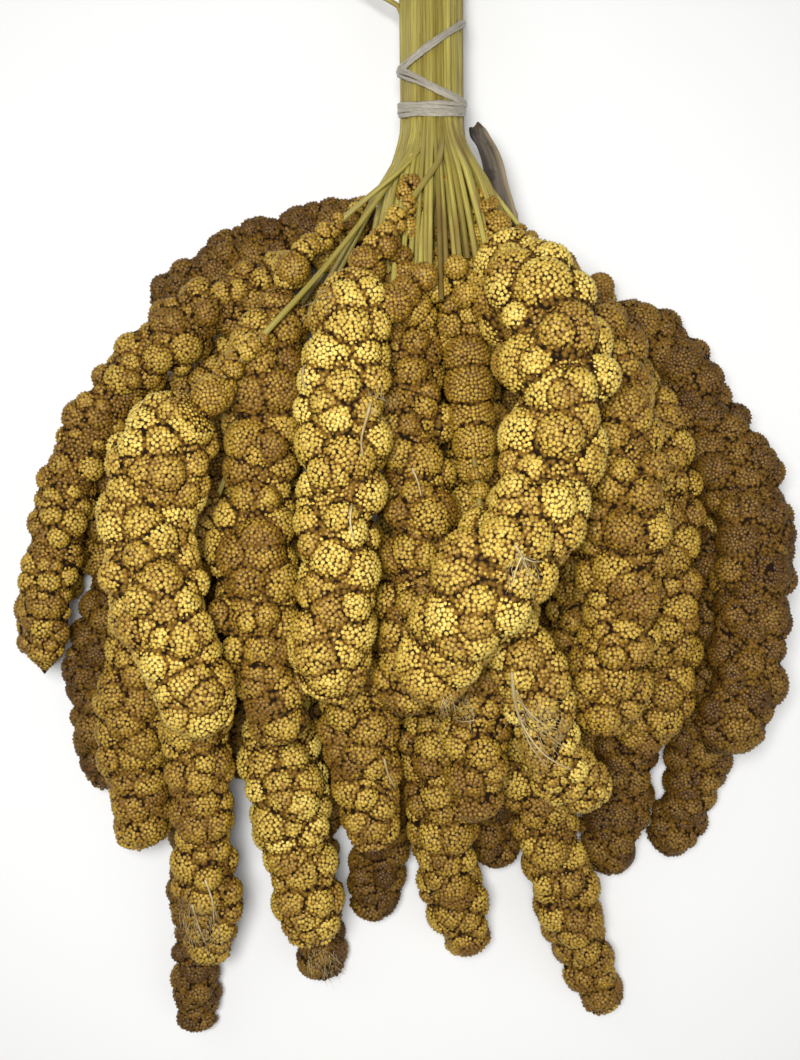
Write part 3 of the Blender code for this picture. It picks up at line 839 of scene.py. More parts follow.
    def set_out_grains(self) -> dict[str, np.ndarray]:
        """Where grains could sit, packed over the head without order.

        Returns:
            Tops, normals, sizes and tones of the grains.
        """
        stations = np.linspace(0.0, 1.0, len(self.axis))
        swell = self.radii * np.sqrt(1.0 + np.minimum(self.slopes**2, 9.0)) + 0.4
        area = np.concatenate([[0.0], np.cumsum((swell[1:] + swell[:-1]) / 2)])
        area = area / area[-1]
        total = 2 * math.pi * float(swell.mean()) * self.length
        count = int(total * CANDIDATES)
        order = np.arange(count)
        shares = np.interp((order + 0.5) / count, area, stations)
        angles = 2 * math.pi * np.modf(order * GOLDEN)[0]
        shares = np.clip(shares + self.draw.normal(0.0, 0.3, count) / self.length, 0.004, 0.996)
        place, outward, reaches, normals, owners, under = self.surface(shares, angles)
        tops = place + outward * reaches[:, None]
        # Grains are left out right along the creases between lobes, so the near-black husk shows there as
        # painted crease shade.
        usable = np.flatnonzero((tops[:, 2] > 0.9) & ((under > self.crease) | (owners < 0)))
        kept = usable[packed_places(tops[usable])]
        count = len(kept)
        owners = owners[kept]
        tones_and_shade = self.draw.uniform(0.0, 1.0, count) * 0.42 + 0.3
        # Painted shade: grains in the troughs between lobes are made darker, and the next line darkens
        # grains near a crease where two lobes meet.
        tones_and_shade = tones_and_shade + np.where(owners >= 0, self.lobe_tones[np.maximum(owners, 0)] * 0.55, -0.25)
        tones_and_shade = tones_and_shade - 0.55 * np.exp(-under[kept] / 0.7)
        sizes = self.draw.uniform(0.88, 1.1, count) * np.where(owners >= 0, 1.0, 0.9)
        return {
            "tops": tops[kept],
            "normals": normals[kept],
            "sizes": sizes,
            "tones_and_shade": np.clip(tones_and_shade, 0.0, 1.0),
        }


def look_directions() -> np.ndarray:
    """Directions that a place on the bunch may be seen from, the top one first."""
    ways = [(0.0, 0.0, 1.0)]
    for elevation, count, turn in LOOK_CIRCLES:
        high = math.radians(elevation)
        for number in range(count):
            angle = math.radians(turn + 360 * number / count)
            level = math.cos(high)
            ways.append((math.cos(angle) * level, math.sin(angle) * level, math.sin(high)))
    return np.array(ways)


def seen_places(tree: BVHTree, places: np.ndarray, normals: np.ndarray) -> np.ndarray:
    """Which places can be seen from outside the bunch.

    Args:
        tree: The husk bodies' triangles.
        places: Points in metres, a little above the surface.
        normals: The surface normals there.

    Returns:
        True for each place that some direction reaches.
    """
    ways = look_directions()
    facing = normals @ ways.T > LEAST_FACING
    vectors = [Vector(way) for way in ways]
    seen = np.zeros(len(places), bool)
    for number, place in enumerate(places):
        origin = Vector(place)
        for which in np.flatnonzero(facing[number]):
            if tree.ray_cast(origin, vectors[which], CLEAR_VIEW)[0] is None:
                seen[number] = True
                break
    return seen


def packed_places(places: np.ndarray) -> np.ndarray:
    """Choose places that keep a grain's distance from each other, packed from one end.

    Args:
        places: Candidate places in mm, in the order that they are tried in.

    Returns:
        The chosen places' numbers.
    """
    tree = KDTree(len(places))
    for number, place in enumerate(places):
        tree.insert(place, number)
    tree.balance()
    free = np.ones(len(places), bool)
    chosen = []
    for number in range(len(places)):
        if free[number]:
            chosen.append(number)
            for _, other, _ in tree.find_range(places[number], GRAIN_APART):
                free[other] = False
    return np.array(chosen)


def grain_shape() -> tuple[np.ndarray, np.ndarray]:
    """One grain's five-sided dome, its top at height zero.

    Returns:
        Places, and triangle corners.
    """
    shape = bmesh.new()
    bmesh.ops.create_cone(
        shape, cap_ends=False, cap_tris=False, segments=5, radius1=1.0, radius2=0.0, depth=GRAIN_DEPTH
    )
    bmesh.ops.remove_doubles(shape, verts=shape.verts, dist=0.001)
    bmesh.ops.translate(shape, verts=shape.verts, vec=(0.0, 0.0, -GRAIN_DEPTH / 2))
    bmesh.ops.triangulate(shape, faces=shape.faces)
    places, corners = mesh_arrays(shape)
    shape.free()
    return places, corners


def add_grains(piece: bpy.types.Object, grains: dict[str, np.ndarray], seed: int) -> None:
    """Join many grains to a husk body, with round shading and their tones.

    Args:
        piece: The husk body's object, which has the grains' material in its second slot.
        grains: Tops, normals, sizes and tones of the grains.
        seed: The seed for their turns.
    """
    draw = np.random.default_rng(seed)
    dome, corners = grain_shape()
    count = len(grains["tops"])
    normals = unit(grains["normals"])
    helper = np.where(np.abs(normals[:, 2:]) > 0.8, np.array([[1.0, 0.0, 0.0]]), UP[None])
    first = unit(np.cross(normals, helper))
    second = np.cross(normals, first)
    turn = draw.uniform(0.0, 2 * math.pi, count)[:, None]
    across = np.cos(turn) * first + np.sin(turn) * second
    other = np.cross(normals, across)
    basis = np.stack([across, other, normals], axis=1)
    half = GRAIN_HALF * grains["sizes"][:, None, None] * MM
    stretch = np.stack(
        [draw.uniform(0.94, 1.08, count), draw.uniform(0.94, 1.08, count), np.ones(count)], axis=1
    )
    local = dome[None] * stretch[:, None]
    places = (grains["tops"] * MM)[:, None] + half * np.einsum("gvk,gkj->gvj", local, basis)
    round_ways = unit(dome + np.array([0.0, 0.0, GRAIN_ROUNDNESS]))
    ways = np.einsum("vk,gkj->gvj", round_ways, basis)
    husk = piece.data
    husk_count = len(husk.vertices)
    husk_faces = len(husk.polygons)
    old_places = np.zeros(husk_count * 3)
    husk.vertices.foreach_get("co", old_places)
    old_ways = np.zeros(husk_count * 3)
    husk.vertex_normals.foreach_get("vector", old_ways)
    old_corners = np.zeros(husk_faces * 3, int)
    husk.loops.foreach_get("vertex_index", old_corners)
    offsets = husk_count + len(dome) * np.arange(count)
    new_corners = (corners[None] + offsets[:, None, None]).reshape(-1, 3)
    joined = bpy.data.meshes.new(piece.name)
    all_places = np.vstack([old_places.reshape(-1, 3), places.reshape(-1, 3)])
    all_corners = np.vstack([old_corners.reshape(-1, 3), new_corners])
    joined.vertices.add(len(all_places))
    joined.vertices.foreach_set("co", all_places.ravel())
    joined.loops.add(all_corners.size)
    joined.loops.foreach_set("vertex_index", all_corners.ravel().astype(np.int32))
    joined.polygons.add(len(all_corners))
    joined.polygons.foreach_set("loop_start", np.arange(0, all_corners.size, 3, dtype=np.int32))
    joined.polygons.foreach_set("loop_total", np.full(len(all_corners), 3, np.int32))
    for material in husk.materials:
        joined.materials.append(material)
    kinds = np.zeros(len(all_corners), np.int32)
    kinds[husk_faces:] = 1
    joined.polygons.foreach_set("material_index", kinds)
    joined.polygons.foreach_set("use_smooth", np.ones(len(all_corners), bool))
    joined.update(calc_edges=True)
    joined.validate()
    tones_and_shade = np.concatenate([np.zeros(husk_count), np.repeat(grains["tones_and_shade"], len(dome))])
    # The grains' rims carry painted shade, which the grain material darkens; the husk's points are all
    # marked as rim.
    edge_shades = np.concatenate([np.ones(husk_count), np.tile(dome[:, 2] < -GRAIN_DEPTH / 2, count)])
    for name, values in (("grain", tones_and_shade), ("rim", edge_shades)):
        attribute = joined.attributes.new(name, "FLOAT", "POINT")
        attribute.data.foreach_set("value", values.astype(np.float32))
    joined.normals_split_custom_set_from_vertices(
        np.vstack([old_ways.reshape(-1, 3), ways.reshape(-1, 3)]).astype(np.float32)
    )
    piece.data = joined
    bpy.data.meshes.remove(husk)


@dataclass(frozen=True)
class Bundle:
    """Where the tied bundle of stems lies: its axis at the band and toward the cut ends."""

    band: tuple[float, float, float]
    drop: float = -24.2 / 91.0
    reach: float = 91.0
    straight: float = 42.0
    cone: tuple[tuple[float, float], ...] = (
        (4.0, 1.0), (14.0, 1.2), (28.0, 1.65), (42.0, 2.0), (60.0, 2.35), (80.0, 2.6)
    )
    cut_spread: float = 1.12

    def axes(self) -> tuple[np.ndarray, np.ndarray, np.ndarray, np.ndarray]:
        """The place under the band, the way to the cut ends, the side way and the up way."""
        direction = np.array([0.0, math.sqrt(1 - self.drop**2), self.drop])
        side = np.array([1.0, 0.0, 0.0])
        return np.array(self.band), direction, side, np.cross(side, direction)

    def point(self, radius: float, angle: float, along: float) -> np.ndarray:
        """A point of the bundle.

        Args:
            radius: Distance from the axis at the band.
            angle: Angle round the axis in radians, with 0 at +X and a quarter turn on top.
            along: Distance from the band toward the cut ends, negative toward the heads.

        Returns:
            The point in mm.
        """
        place, direction, side, up = self.axes()
        stations = [-distance for distance, _ in reversed(self.cone)] + [self.straight, self.reach]
        spreads = [spread for _, spread in reversed(self.cone)] + [1.0, self.cut_spread]
        reach = radius * float(np.interp(along, stations, spreads))
        return place + along * direction + reach * (math.cos(angle) * side + math.sin(angle) * up)


@dataclass
class BaseTufts:
    """Small loose clusters of grains: on the stems, in the cone of straws and in the gaps.

    Each of the gap's balls is a place and a radius in mm.
    """

    lines: dict[str, np.ndarray]
    bundle: Bundle
    reach: float = 28.0
    step: float = 5.0
    stray: float = 2.6
    sizes: tuple[float, float] = (5.4, 2.4)
    cone_balls: int = 170
    cone_radius: float = 10.5
    cone_reach: tuple[float, float] = (42.0, 80.0)
    cone_sizes: tuple[float, float] = (2.2, 5.8)
    cone_sink: float = 4.5
    husk_depth: float = 0.6
    fine_size: float = 3.6
    gap_balls: tuple[tuple[float, float, float, float], ...] = (
        (-67.0, -6.0, 20.0, 7.5),
        (-67.0, -18.0, 18.0, 8.0),
        (-67.0, -30.0, 18.0, 8.0),
        (-66.0, -41.0, 17.0, 7.5),
        (12.0, 21.0, 30.0, 8.0),
        (12.0, 31.0, 32.0, 8.0),
        (-7.0, 67.0, 30.0, 7.0),
        (39.5, 24.0, 25.0, 8.0),
        (39.0, 32.0, 28.0, 7.0),
        (-65.5, 12.0, 22.0, 8.0),
        (-66.0, 2.0, 21.0, 8.0),
        (-109.0, -33.0, 10.0, 8.0),
        (-108.0, -22.0, 11.0, 7.0),
        (115.0, -20.0, 12.0, 8.0),
        (116.0, -10.0, 12.0, 7.0),
        (72.0, -99.0, 10.0, 7.0),
        (17.5, 7.0, 24.0, 8.0),
        (26.2, -1.5, 63.5, 6.5),
        (25.8, 6.0, 65.5, 7.5),
        (25.0, 14.5, 63.0, 8.2),
        (24.2, 24.5, 65.0, 8.6),
        (23.4, 34.0, 65.0, 8.0),
    )
    seed: int = 311

    def __post_init__(self) -> None:
        """Set out the clusters along the end of each stem."""
        self.draw = np.random.default_rng(self.seed)
        places = []
        sizes = []
        for line in self.lines.values():
            back = resample(line[::-1], 200)
            gone = np.concatenate([[0.0], np.cumsum(np.linalg.norm(np.diff(back, axis=0), axis=1))])
            for distance in np.arange(0.5, self.reach, self.step):
                for _ in range(3):
                    along = distance + self.draw.uniform(-self.stray, self.stray)
                    size = np.interp(along, (0.0, self.reach), self.sizes) * self.draw.uniform(0.8, 1.15)
                    point = np.array([np.interp(along, gone, back[:, k]) for k in range(3)])
                    places.append(point + unit(self.draw.normal(0.0, 1.0, 3)) * size * 0.65)
                    sizes.append(size)
        for _ in range(self.cone_balls):
            share = math.sqrt(self.draw.uniform())
            along = np.interp(share, (0.0, 1.0), self.cone_reach)
            radius = self.cone_radius * math.sqrt(self.draw.uniform())
            sunk = UP * self.cone_sink * (1.0 - share)
            places.append(self.bundle.point(radius, self.draw.uniform(0.0, 2 * math.pi), -along) - sunk)
            sizes.append(np.interp(share, (0.0, 1.0), self.cone_sizes) * self.draw.uniform(0.8, 1.15))
        for x, y, z, size in self.gap_balls:
            places.append(np.array([x, y, z]))
            sizes.append(size)
        self.places = np.array(places)
        self.balls = np.array(sizes)
        self.places[:, 2] = np.maximum(self.places[:, 2], self.balls + 0.2)

    def build_husk(self) -> bmesh.types.BMesh:
        """The balls under the clusters' grains.

        Returns:
            A bmesh in metres.
        """
        shape = bmesh.new()
        for place, size in zip(self.places, self.balls):
            move = Matrix.Translation(Vector(place * MM))
            bmesh.ops.create_icosphere(
                shape,
                subdivisions=2 if size > self.fine_size else 1,
                radius=(size - self.husk_depth) * MM,
                matrix=move,
            )
        return shape

    def set_out_grains(self) -> dict[str, np.ndarray]:
        """Where grains could sit on the clusters.

        Returns:
            Tops, normals, sizes and tones of the grains.
        """
        tops = []
        ways = []
        tones_and_shade = []
        for number, (place, size) in enumerate(zip(self.places, self.balls)):
            count = int(4 * math.pi * size**2 * CANDIDATES)
            order = np.arange(count)
            height = 1 - 2 * (order + 0.5) / count
            angle = 2 * math.pi * order * GOLDEN
            flat = np.sqrt(1 - height**2)
            way = np.column_stack([flat * np.cos(angle), flat * np.sin(angle), height])
            point = place + way * size
            others = np.delete(np.arange(len(self.balls)), number)
            near = others[np.linalg.norm(self.places[others] - place, axis=1) < size + self.balls[others]]
            clear = np.ones(count, bool)
            for other in near:
                clear &= np.linalg.norm(point - self.places[other], axis=1) > self.balls[other] - 0.3
            tops.append(point[clear])
            ways.append(way[clear])
            tones_and_shade.append(np.full(int(clear.sum()), self.draw.uniform(0.1, 0.75)))
        tops = np.vstack(tops)
        ways = np.vstack(ways)
        tones_and_shade = np.concatenate(tones_and_shade)
        kept = packed_places(tops)
        count = len(kept)
        return {
            "tops": tops[kept],
            "normals": ways[kept],
            "sizes": self.draw.uniform(0.84, 1.05, count),
            "tones_and_shade": np.clip(tones_and_shade[kept] + self.draw.uniform(-0.25, 0.25, count), 0.0, 1.0),
        }


@dataclass
class Mop:
    """All the seed heads together."""

    frame: dict
    bundle: Bundle
    husk: HuskFinish = HuskFinish("husk_dark_as_gap_shade", (0.014, 0.007, 0.003), (0.21, 0.11, 0.018))
    # The three grain finishes are partly lit and shaded copies of one colour: the yellow one painted
    # lighter, the brown one painted darker for where less light falls.
    grains: dict[Tint, GrainFinish] = field(
        default_factory=lambda: {
            Tint.YELLOW_LIT: GrainFinish(
                name="grains_yellow_lit_gloss",
                dark=(0.33, 0.185, 0.026),
                middle=(0.56, 0.375, 0.056),
                bright=(0.80, 0.61, 0.14),
                edge=(0.07, 0.031, 0.008),
            ),
            Tint.GOLD: GrainFinish(
                name="grains_gold_gloss",
                dark=(0.22, 0.11, 0.013),
                middle=(0.385, 0.228, 0.026),
                bright=(0.58, 0.39, 0.06),
                edge=(0.05, 0.022, 0.006),
            ),
            Tint.BROWN: GrainFinish(
                name="grains_brown_shaded_gloss",
                dark=(0.085, 0.037, 0.004),
                middle=(0.165, 0.082, 0.009),
                bright=(0.28, 0.155, 0.019),
                edge=(0.025, 0.01, 0.003),
            ),
        }
    )
    bases: dict[str, np.ndarray] = field(default_factory=dict)
    tree: BVHTree | None = None

    def build(self) -> list[bpy.types.Object]:
        """Build every head, leaving out grains that nothing outside can see.

        Returns:
            The finished pieces.
        """
        low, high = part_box("tie_ribbon")
        tie_place = np.array(tuple((low + high) / 2)) / MM
        husk = self.husk.material()
        coats = {tint: finish.material() for tint, finish in self.grains.items()}
        made = []
        for number, (name, node) in enumerate(sorted(self.frame["nodes"].items())):
            if not name.startswith("head_"):
                continue
            short = name[len("head_") :]
            # Heads in neither list get the brown finish, which is partly painted shade.
            head = SeedHead(short, TINTS.get(short, Tint.BROWN), node, tie_place, 900 + number)
            self.bases[short] = head.axis[0]
            made.append((head, keep_mesh(f"millet_{short}", head.build_husk(), [husk, coats[head.tint]])))
        tufts = BaseTufts(self.stem_lines(), self.bundle)
        loose = keep_mesh("millet_base_tufts", tufts.build_husk(), [husk, coats[Tint.GOLD]])
        made.append((tufts, loose))
        self.tree = self.husk_tree([piece for _, piece in made])
        total = 0
        for head, piece in made:
            grains = head.set_out_grains()
            raised = grains["tops"] * MM + grains["normals"] * ABOVE_GRAIN
            seen = seen_places(self.tree, raised, grains["normals"])
            kept = {key: values[seen] for key, values in grains.items()}
            add_grains(piece, kept, head.seed + 500)
            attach(piece, BODY)
            if head is not tufts:
                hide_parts(f"head_{head.name}")
            faces = len(piece.data.polygons)
            total += faces
            LOG.info("%s: %d of %d grains, %d triangles", piece.name, seen.sum(), len(seen), faces)
        LOG.info("all seed heads: %d triangles", total)
        return [piece for _, piece in made]

    def husk_tree(self, pieces: list[bpy.types.Object]) -> BVHTree:
        """The husk bodies' triangles, for rays.

        Args:
            pieces: The husk bodies, of triangles alone.

        Returns:
            One tree over all of them, in metres.
        """
        points = []
        corners = []
        before = 0
        for piece in pieces:
            shape = bmesh.new()
            shape.from_mesh(piece.data)
            places, triangles = mesh_arrays(shape)
            shape.free()
            points.append(places)
            corners.append(triangles + before)
            before += len(places)
        return BVHTree.FromPolygons(
            np.vstack(points).tolist(), np.vstack(corners).tolist(), all_triangles=True
        )

    def stem_lines(self) -> dict[str, np.ndarray]:
        """The middle line of each head's own stem, by the head's name."""
        stems = sorted(item for item in self.frame["nodes"].items() if item[0].startswith("stem_"))
        return {name[len("stem_") :]: stem_middle(node) for name, node in stems}


@dataclass
class Straws:
    """The stems: each one a round striped straw, with more of them filling the bundle."""

    frame: dict
    bundle: Bundle
    bases: dict[str, np.ndarray]
    radius: float = 1.05
    sides: int = 8
    sharp_over: float = 55.0
    stations: tuple[float, ...] = (20.0, 0.0, -8.0, -18.0, -28.0)
    flare: float = 7.0
    flare_start: float = 8.0
    flare_run: float = 40.0
    half_dive: float = 0.45
    inner_rings: tuple[tuple[float, int], ...] = ((7.4, 14), (5.0, 9), (2.4, 5))
    inner_ends: tuple[float, float] = (54.0, 70.0)
    inner_dives: tuple[float, float] = (2.0, 8.0)
    floor_heads: tuple[str, ...] = ("floor_right", "floor_centre", "floor_left")
    floor_radius: float = 6.2
    floor_end: float = 34.0
    outer_count: int = 40
    outer_arc: tuple[float, float] = (-20.0, 200.0)
    outer_radii: tuple[float, float] = (8.9, 10.35)
    outer_ends: tuple[float, float] = (58.0, 78.0)
    outer_dives: tuple[float, float] = (6.0, 14.0)
    short_cuts: tuple[float, float] = (44.0, 52.0)
    short_ones: tuple[int, ...] = (6, 8, 9, 11, 13, 16)
    finish: StrawFinish = StrawFinish(
        "striped_straw", (0.52, 0.45, 0.105), (0.29, 0.22, 0.042), (0.2, 0.115, 0.03)
    )

    def keep(
        self, name: str, lines: list[np.ndarray], seed: int, material: bpy.types.Material
    ) -> bpy.types.Object:
        """Build straws along several lines as one piece.

        Args:
            name: The piece's name.
            lines: The middle lines in mm, each from its cut end.
            seed: The seed for the straws.
            material: The straws' material.

        Returns:
            The piece's object.
        """
        shape = bmesh.new()
        for number, line in enumerate(lines):
            add_straw(shape, line, self.radius, self.sides, seed + 37 * number)
        straw = keep_mesh(name, shape, [material])
        straw.data.set_sharp_from_angle(angle=math.radians(self.sharp_over))
        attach(straw, BODY)
        return straw

    def fan_line(self, radius: float, angle: float, cut: float, end: float, dive: float) -> np.ndarray:
        """A straw's line down the bundle and the cone under the band.

        Args:
            radius: Its distance from the axis at the band.
            angle: Its angle round the axis.
            cut: Where its cut end is, as a distance from the band.
            end: How far below the band it ends.
            dive: How far its end dips inward, among the heads.

        Returns:
            The line's points in mm.
        """
        last = self.stations[-1]
        stations = [cut, (cut + self.bundle.straight) / 2, *self.stations, (last - end) / 2, -end]
        line = np.array([self.bundle.point(radius, angle, along) for along in stations])
        _, _, side, up = self.bundle.axes()
        opening = np.maximum(-np.array(stations) - self.flare_start, 0.0) / self.flare_run
        line += np.outer(opening, side) * self.flare * max(0.0, math.cos(angle)) * radius / 10.0
        line[-1] -= up * dive
        line[-2] -= up * dive * self.half_dive
        return line

    def inner_lines(self, draw: np.random.Generator) -> list[np.ndarray]:
        """The lines of the straws inside the bundle, those of the lowest heads among them.

        Args:
            draw: The source of their unevenness.

        Returns:
            Lines in mm.
        """
        lines = []
        for radius, count in self.inner_rings:
            for number in range(count):
                angle = 2 * math.pi * (number + draw.uniform(-0.2, 0.2)) / count
                cut = self.bundle.reach - draw.uniform(0.0, 5.0)
                end = draw.uniform(*self.inner_ends)
                lines.append(self.fan_line(radius, angle, cut, end, draw.uniform(*self.inner_dives)))
        for name in self.floor_heads:
            base = self.bases[name]
            angle = draw.uniform(-2.6, -0.5)
            line = self.fan_line(self.floor_radius, angle, self.bundle.reach, self.floor_end, 0.0)
            low = (line[-1] + base) / 2
            low[2] = base[2] - 12.0
            line[-1] -= self.bundle.axes()[3] * 16.0
            lines.append(np.vstack([line, low, base - UP * 9.0]))
        return lines

    def outer_lines(self, draw: np.random.Generator) -> list[np.ndarray]:
        """The lines of the straws on the bundle's top and flanks.

        Args:
            draw: The source of their unevenness.

        Returns:
            Lines in mm.
        """
        lines = []
        first, last = self.outer_arc
        for number in range(self.outer_count):
            share = (number + draw.uniform(-0.35, 0.35)) / (self.outer_count - 1)
            radius = draw.uniform(*self.outer_radii)
            if number in self.short_ones:
                cut = draw.uniform(*self.short_cuts)
            else:
                cut = self.bundle.reach - draw.uniform(0.0, 7.0)
            angle = math.radians(first + (last - first) * share)
            end = draw.uniform(*self.outer_ends)
            lines.append(self.fan_line(radius, angle, cut, end, draw.uniform(*self.outer_dives)))
        return lines

    def build(self) -> list[bpy.types.Object]:
        """Build the straws of the heads, the ones inside the bundle and the cone's outer ones.

        Returns:
            The finished pieces.
        """
        material = self.finish.material()
        draw = np.random.default_rng(77)
        made = []
        for number, (name, node) in enumerate(sorted(self.frame["nodes"].items())):
            if name.startswith("stem_"):
                short = name[len("stem_") :]
                straw = self.keep(f"straw_{short}", [stem_middle(node)], 60 + number, material)
                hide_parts(name)
                made.append(straw)
        held = self.keep("straws_inside", self.inner_lines(draw), 700, material)
        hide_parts("inner_stems")
        made.append(held)
        made.append(self.keep("straws_outside", self.outer_lines(draw), 900, material))
        LOG.info("%d pieces of straw", len(made))
        return made


@dataclass(frozen=True)
class Strip:
    """One turn of the ribbon, in mm.

    It lies this far along the bundle from the band's place, rises by so much from left to right,
    lies so high over the stems, and narrows by the share gather at the bundle's right side.
    """

    width: float
    along: float
    rise: float
    lift: float
    plies: int
    gather: float


@dataclass
class Tie:
    """The split-leaf ribbon round the bundle: a level band and two slanted turns."""

    bundle: Bundle
    radius: float = 11.6
    lean: float = 7.8
    thickness: float = 0.12
    overlap: float = 1.25
    cuts: tuple[int, int] = (120, 5)
    gather_angle: float = 0.5
    finish: RibbonFinish = RibbonFinish("split_leaf_ribbon", (0.47, 0.43, 0.345), (0.2, 0.165, 0.12))
    strips: tuple[Strip, ...] = (
        Strip(5.6, 5.9, 0.0, 0.1, 4, 0.35),
        Strip(3.5, 14.55, -13.5, 0.45, 3, 0.4),
        Strip(3.5, 31.55, 20.5, 0.45, 3, 0.3),
    )

    def add_ply(
        self, shape: bmesh.types.BMesh, strip: Strip, number: int, draw: np.random.Generator
    ) -> None:
        """Add one thin ply of a turn, gathered at the bundle's right side.

        Args:
            shape: The bmesh that takes the ply.
            strip: The turn that it belongs to.
            number: Which ply of the turn it is.
            draw: The source of its unevenness.
        """
        place, direction, side, up = self.bundle.axes()
        waves = draw.uniform(0.0, 2 * math.pi, 6)
        middle = (number + 0.5) / strip.plies - 0.5
        width = strip.width / strip.plies * self.overlap
        ply = bmesh.new()
        rounds, rows = self.cuts
        bmesh.ops.create_grid(ply, x_segments=rounds, y_segments=rows, size=1.0, calc_uvs=True)
        layer = ply.loops.layers.uv.active or ply.loops.layers.uv.new("UVMap")
        for face in ply.faces:
            for loop in face.loops:
                share_round, share_across = ((value + 1) / 2 for value in loop.vert.co.xy)
                across = share_across * width + 7 * number
                loop[layer].uv = (share_round * 24 + 5 * number, across / 3)
        for vertex in ply.verts:
            angle = math.pi * (vertex.co.x + 1)
            across = vertex.co.y
            from_right = math.remainder(angle, 2 * math.pi) / self.gather_angle
            tight = 1 - strip.gather * math.exp(-(from_right**2))
            sway = 0.3 * math.sin(2 * angle + waves[0]) + 0.14 * math.sin(5 * angle + waves[1])
            forward = strip.along + strip.rise * math.cos(angle) / 2 - self.lean * math.sin(angle)
            forward += tight * (middle * strip.width + across * width / 2) + sway
            relief = 0.12 * math.sin(3.2 * across + waves[2]) + 0.1 * math.sin(26 * angle + waves[3])
            relief += 0.16 * math.cos(across * math.pi / 2) + 0.1 * math.sin(4 * angle + waves[4])
            reach = self.radius + strip.lift + 0.14 * (number % 2) + relief
            offset = reach * (math.cos(angle) * side + math.sin(angle) * up)
            vertex.co = Vector((place + offset + forward * direction) * MM)
        bmesh.ops.remove_doubles(ply, verts=ply.verts, dist=SEAM_WELD)
        bmesh.ops.recalc_face_normals(ply, faces=ply.faces)
        join_in(shape, ply)

    def build(self) -> list[bpy.types.Object]:
        """Build the band and the two slanted turns.

        Returns:
            The finished pieces.
        """
        material = self.finish.material()
        made = []
        for number, strip in enumerate(self.strips):
            draw = np.random.default_rng(40 + number)
            shape = bmesh.new()
            for ply in range(strip.plies):
                self.add_ply(shape, strip, ply, draw)
            turn = keep_mesh(f"ribbon_turn_{number + 1}", shape, [material])
            shell = turn.modifiers.new("thickness", "SOLIDIFY")
            shell.thickness = self.thickness * MM
            shell.offset = 0.0
            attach(turn, BODY)
            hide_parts("tie_ribbon")
            made.append(turn)
            LOG.info("%s", turn.name)
        return made


@dataclass(frozen=True)
class Stalk:
    """A dry stalk fragment on the mop, where the picture shows one.

    The route is in the picture's pixels, and the radius in mm.
    """

    route: tuple[tuple[float, float], ...]
    radius: float
    lift: float = 0.9


@dataclass(frozen=True)
class Brush:
    """A patch of fine bristles: middle and reach in the picture's pixels."""

    middle: tuple[float, float]
    reach: float
    count: int
    way: tuple[float, float]


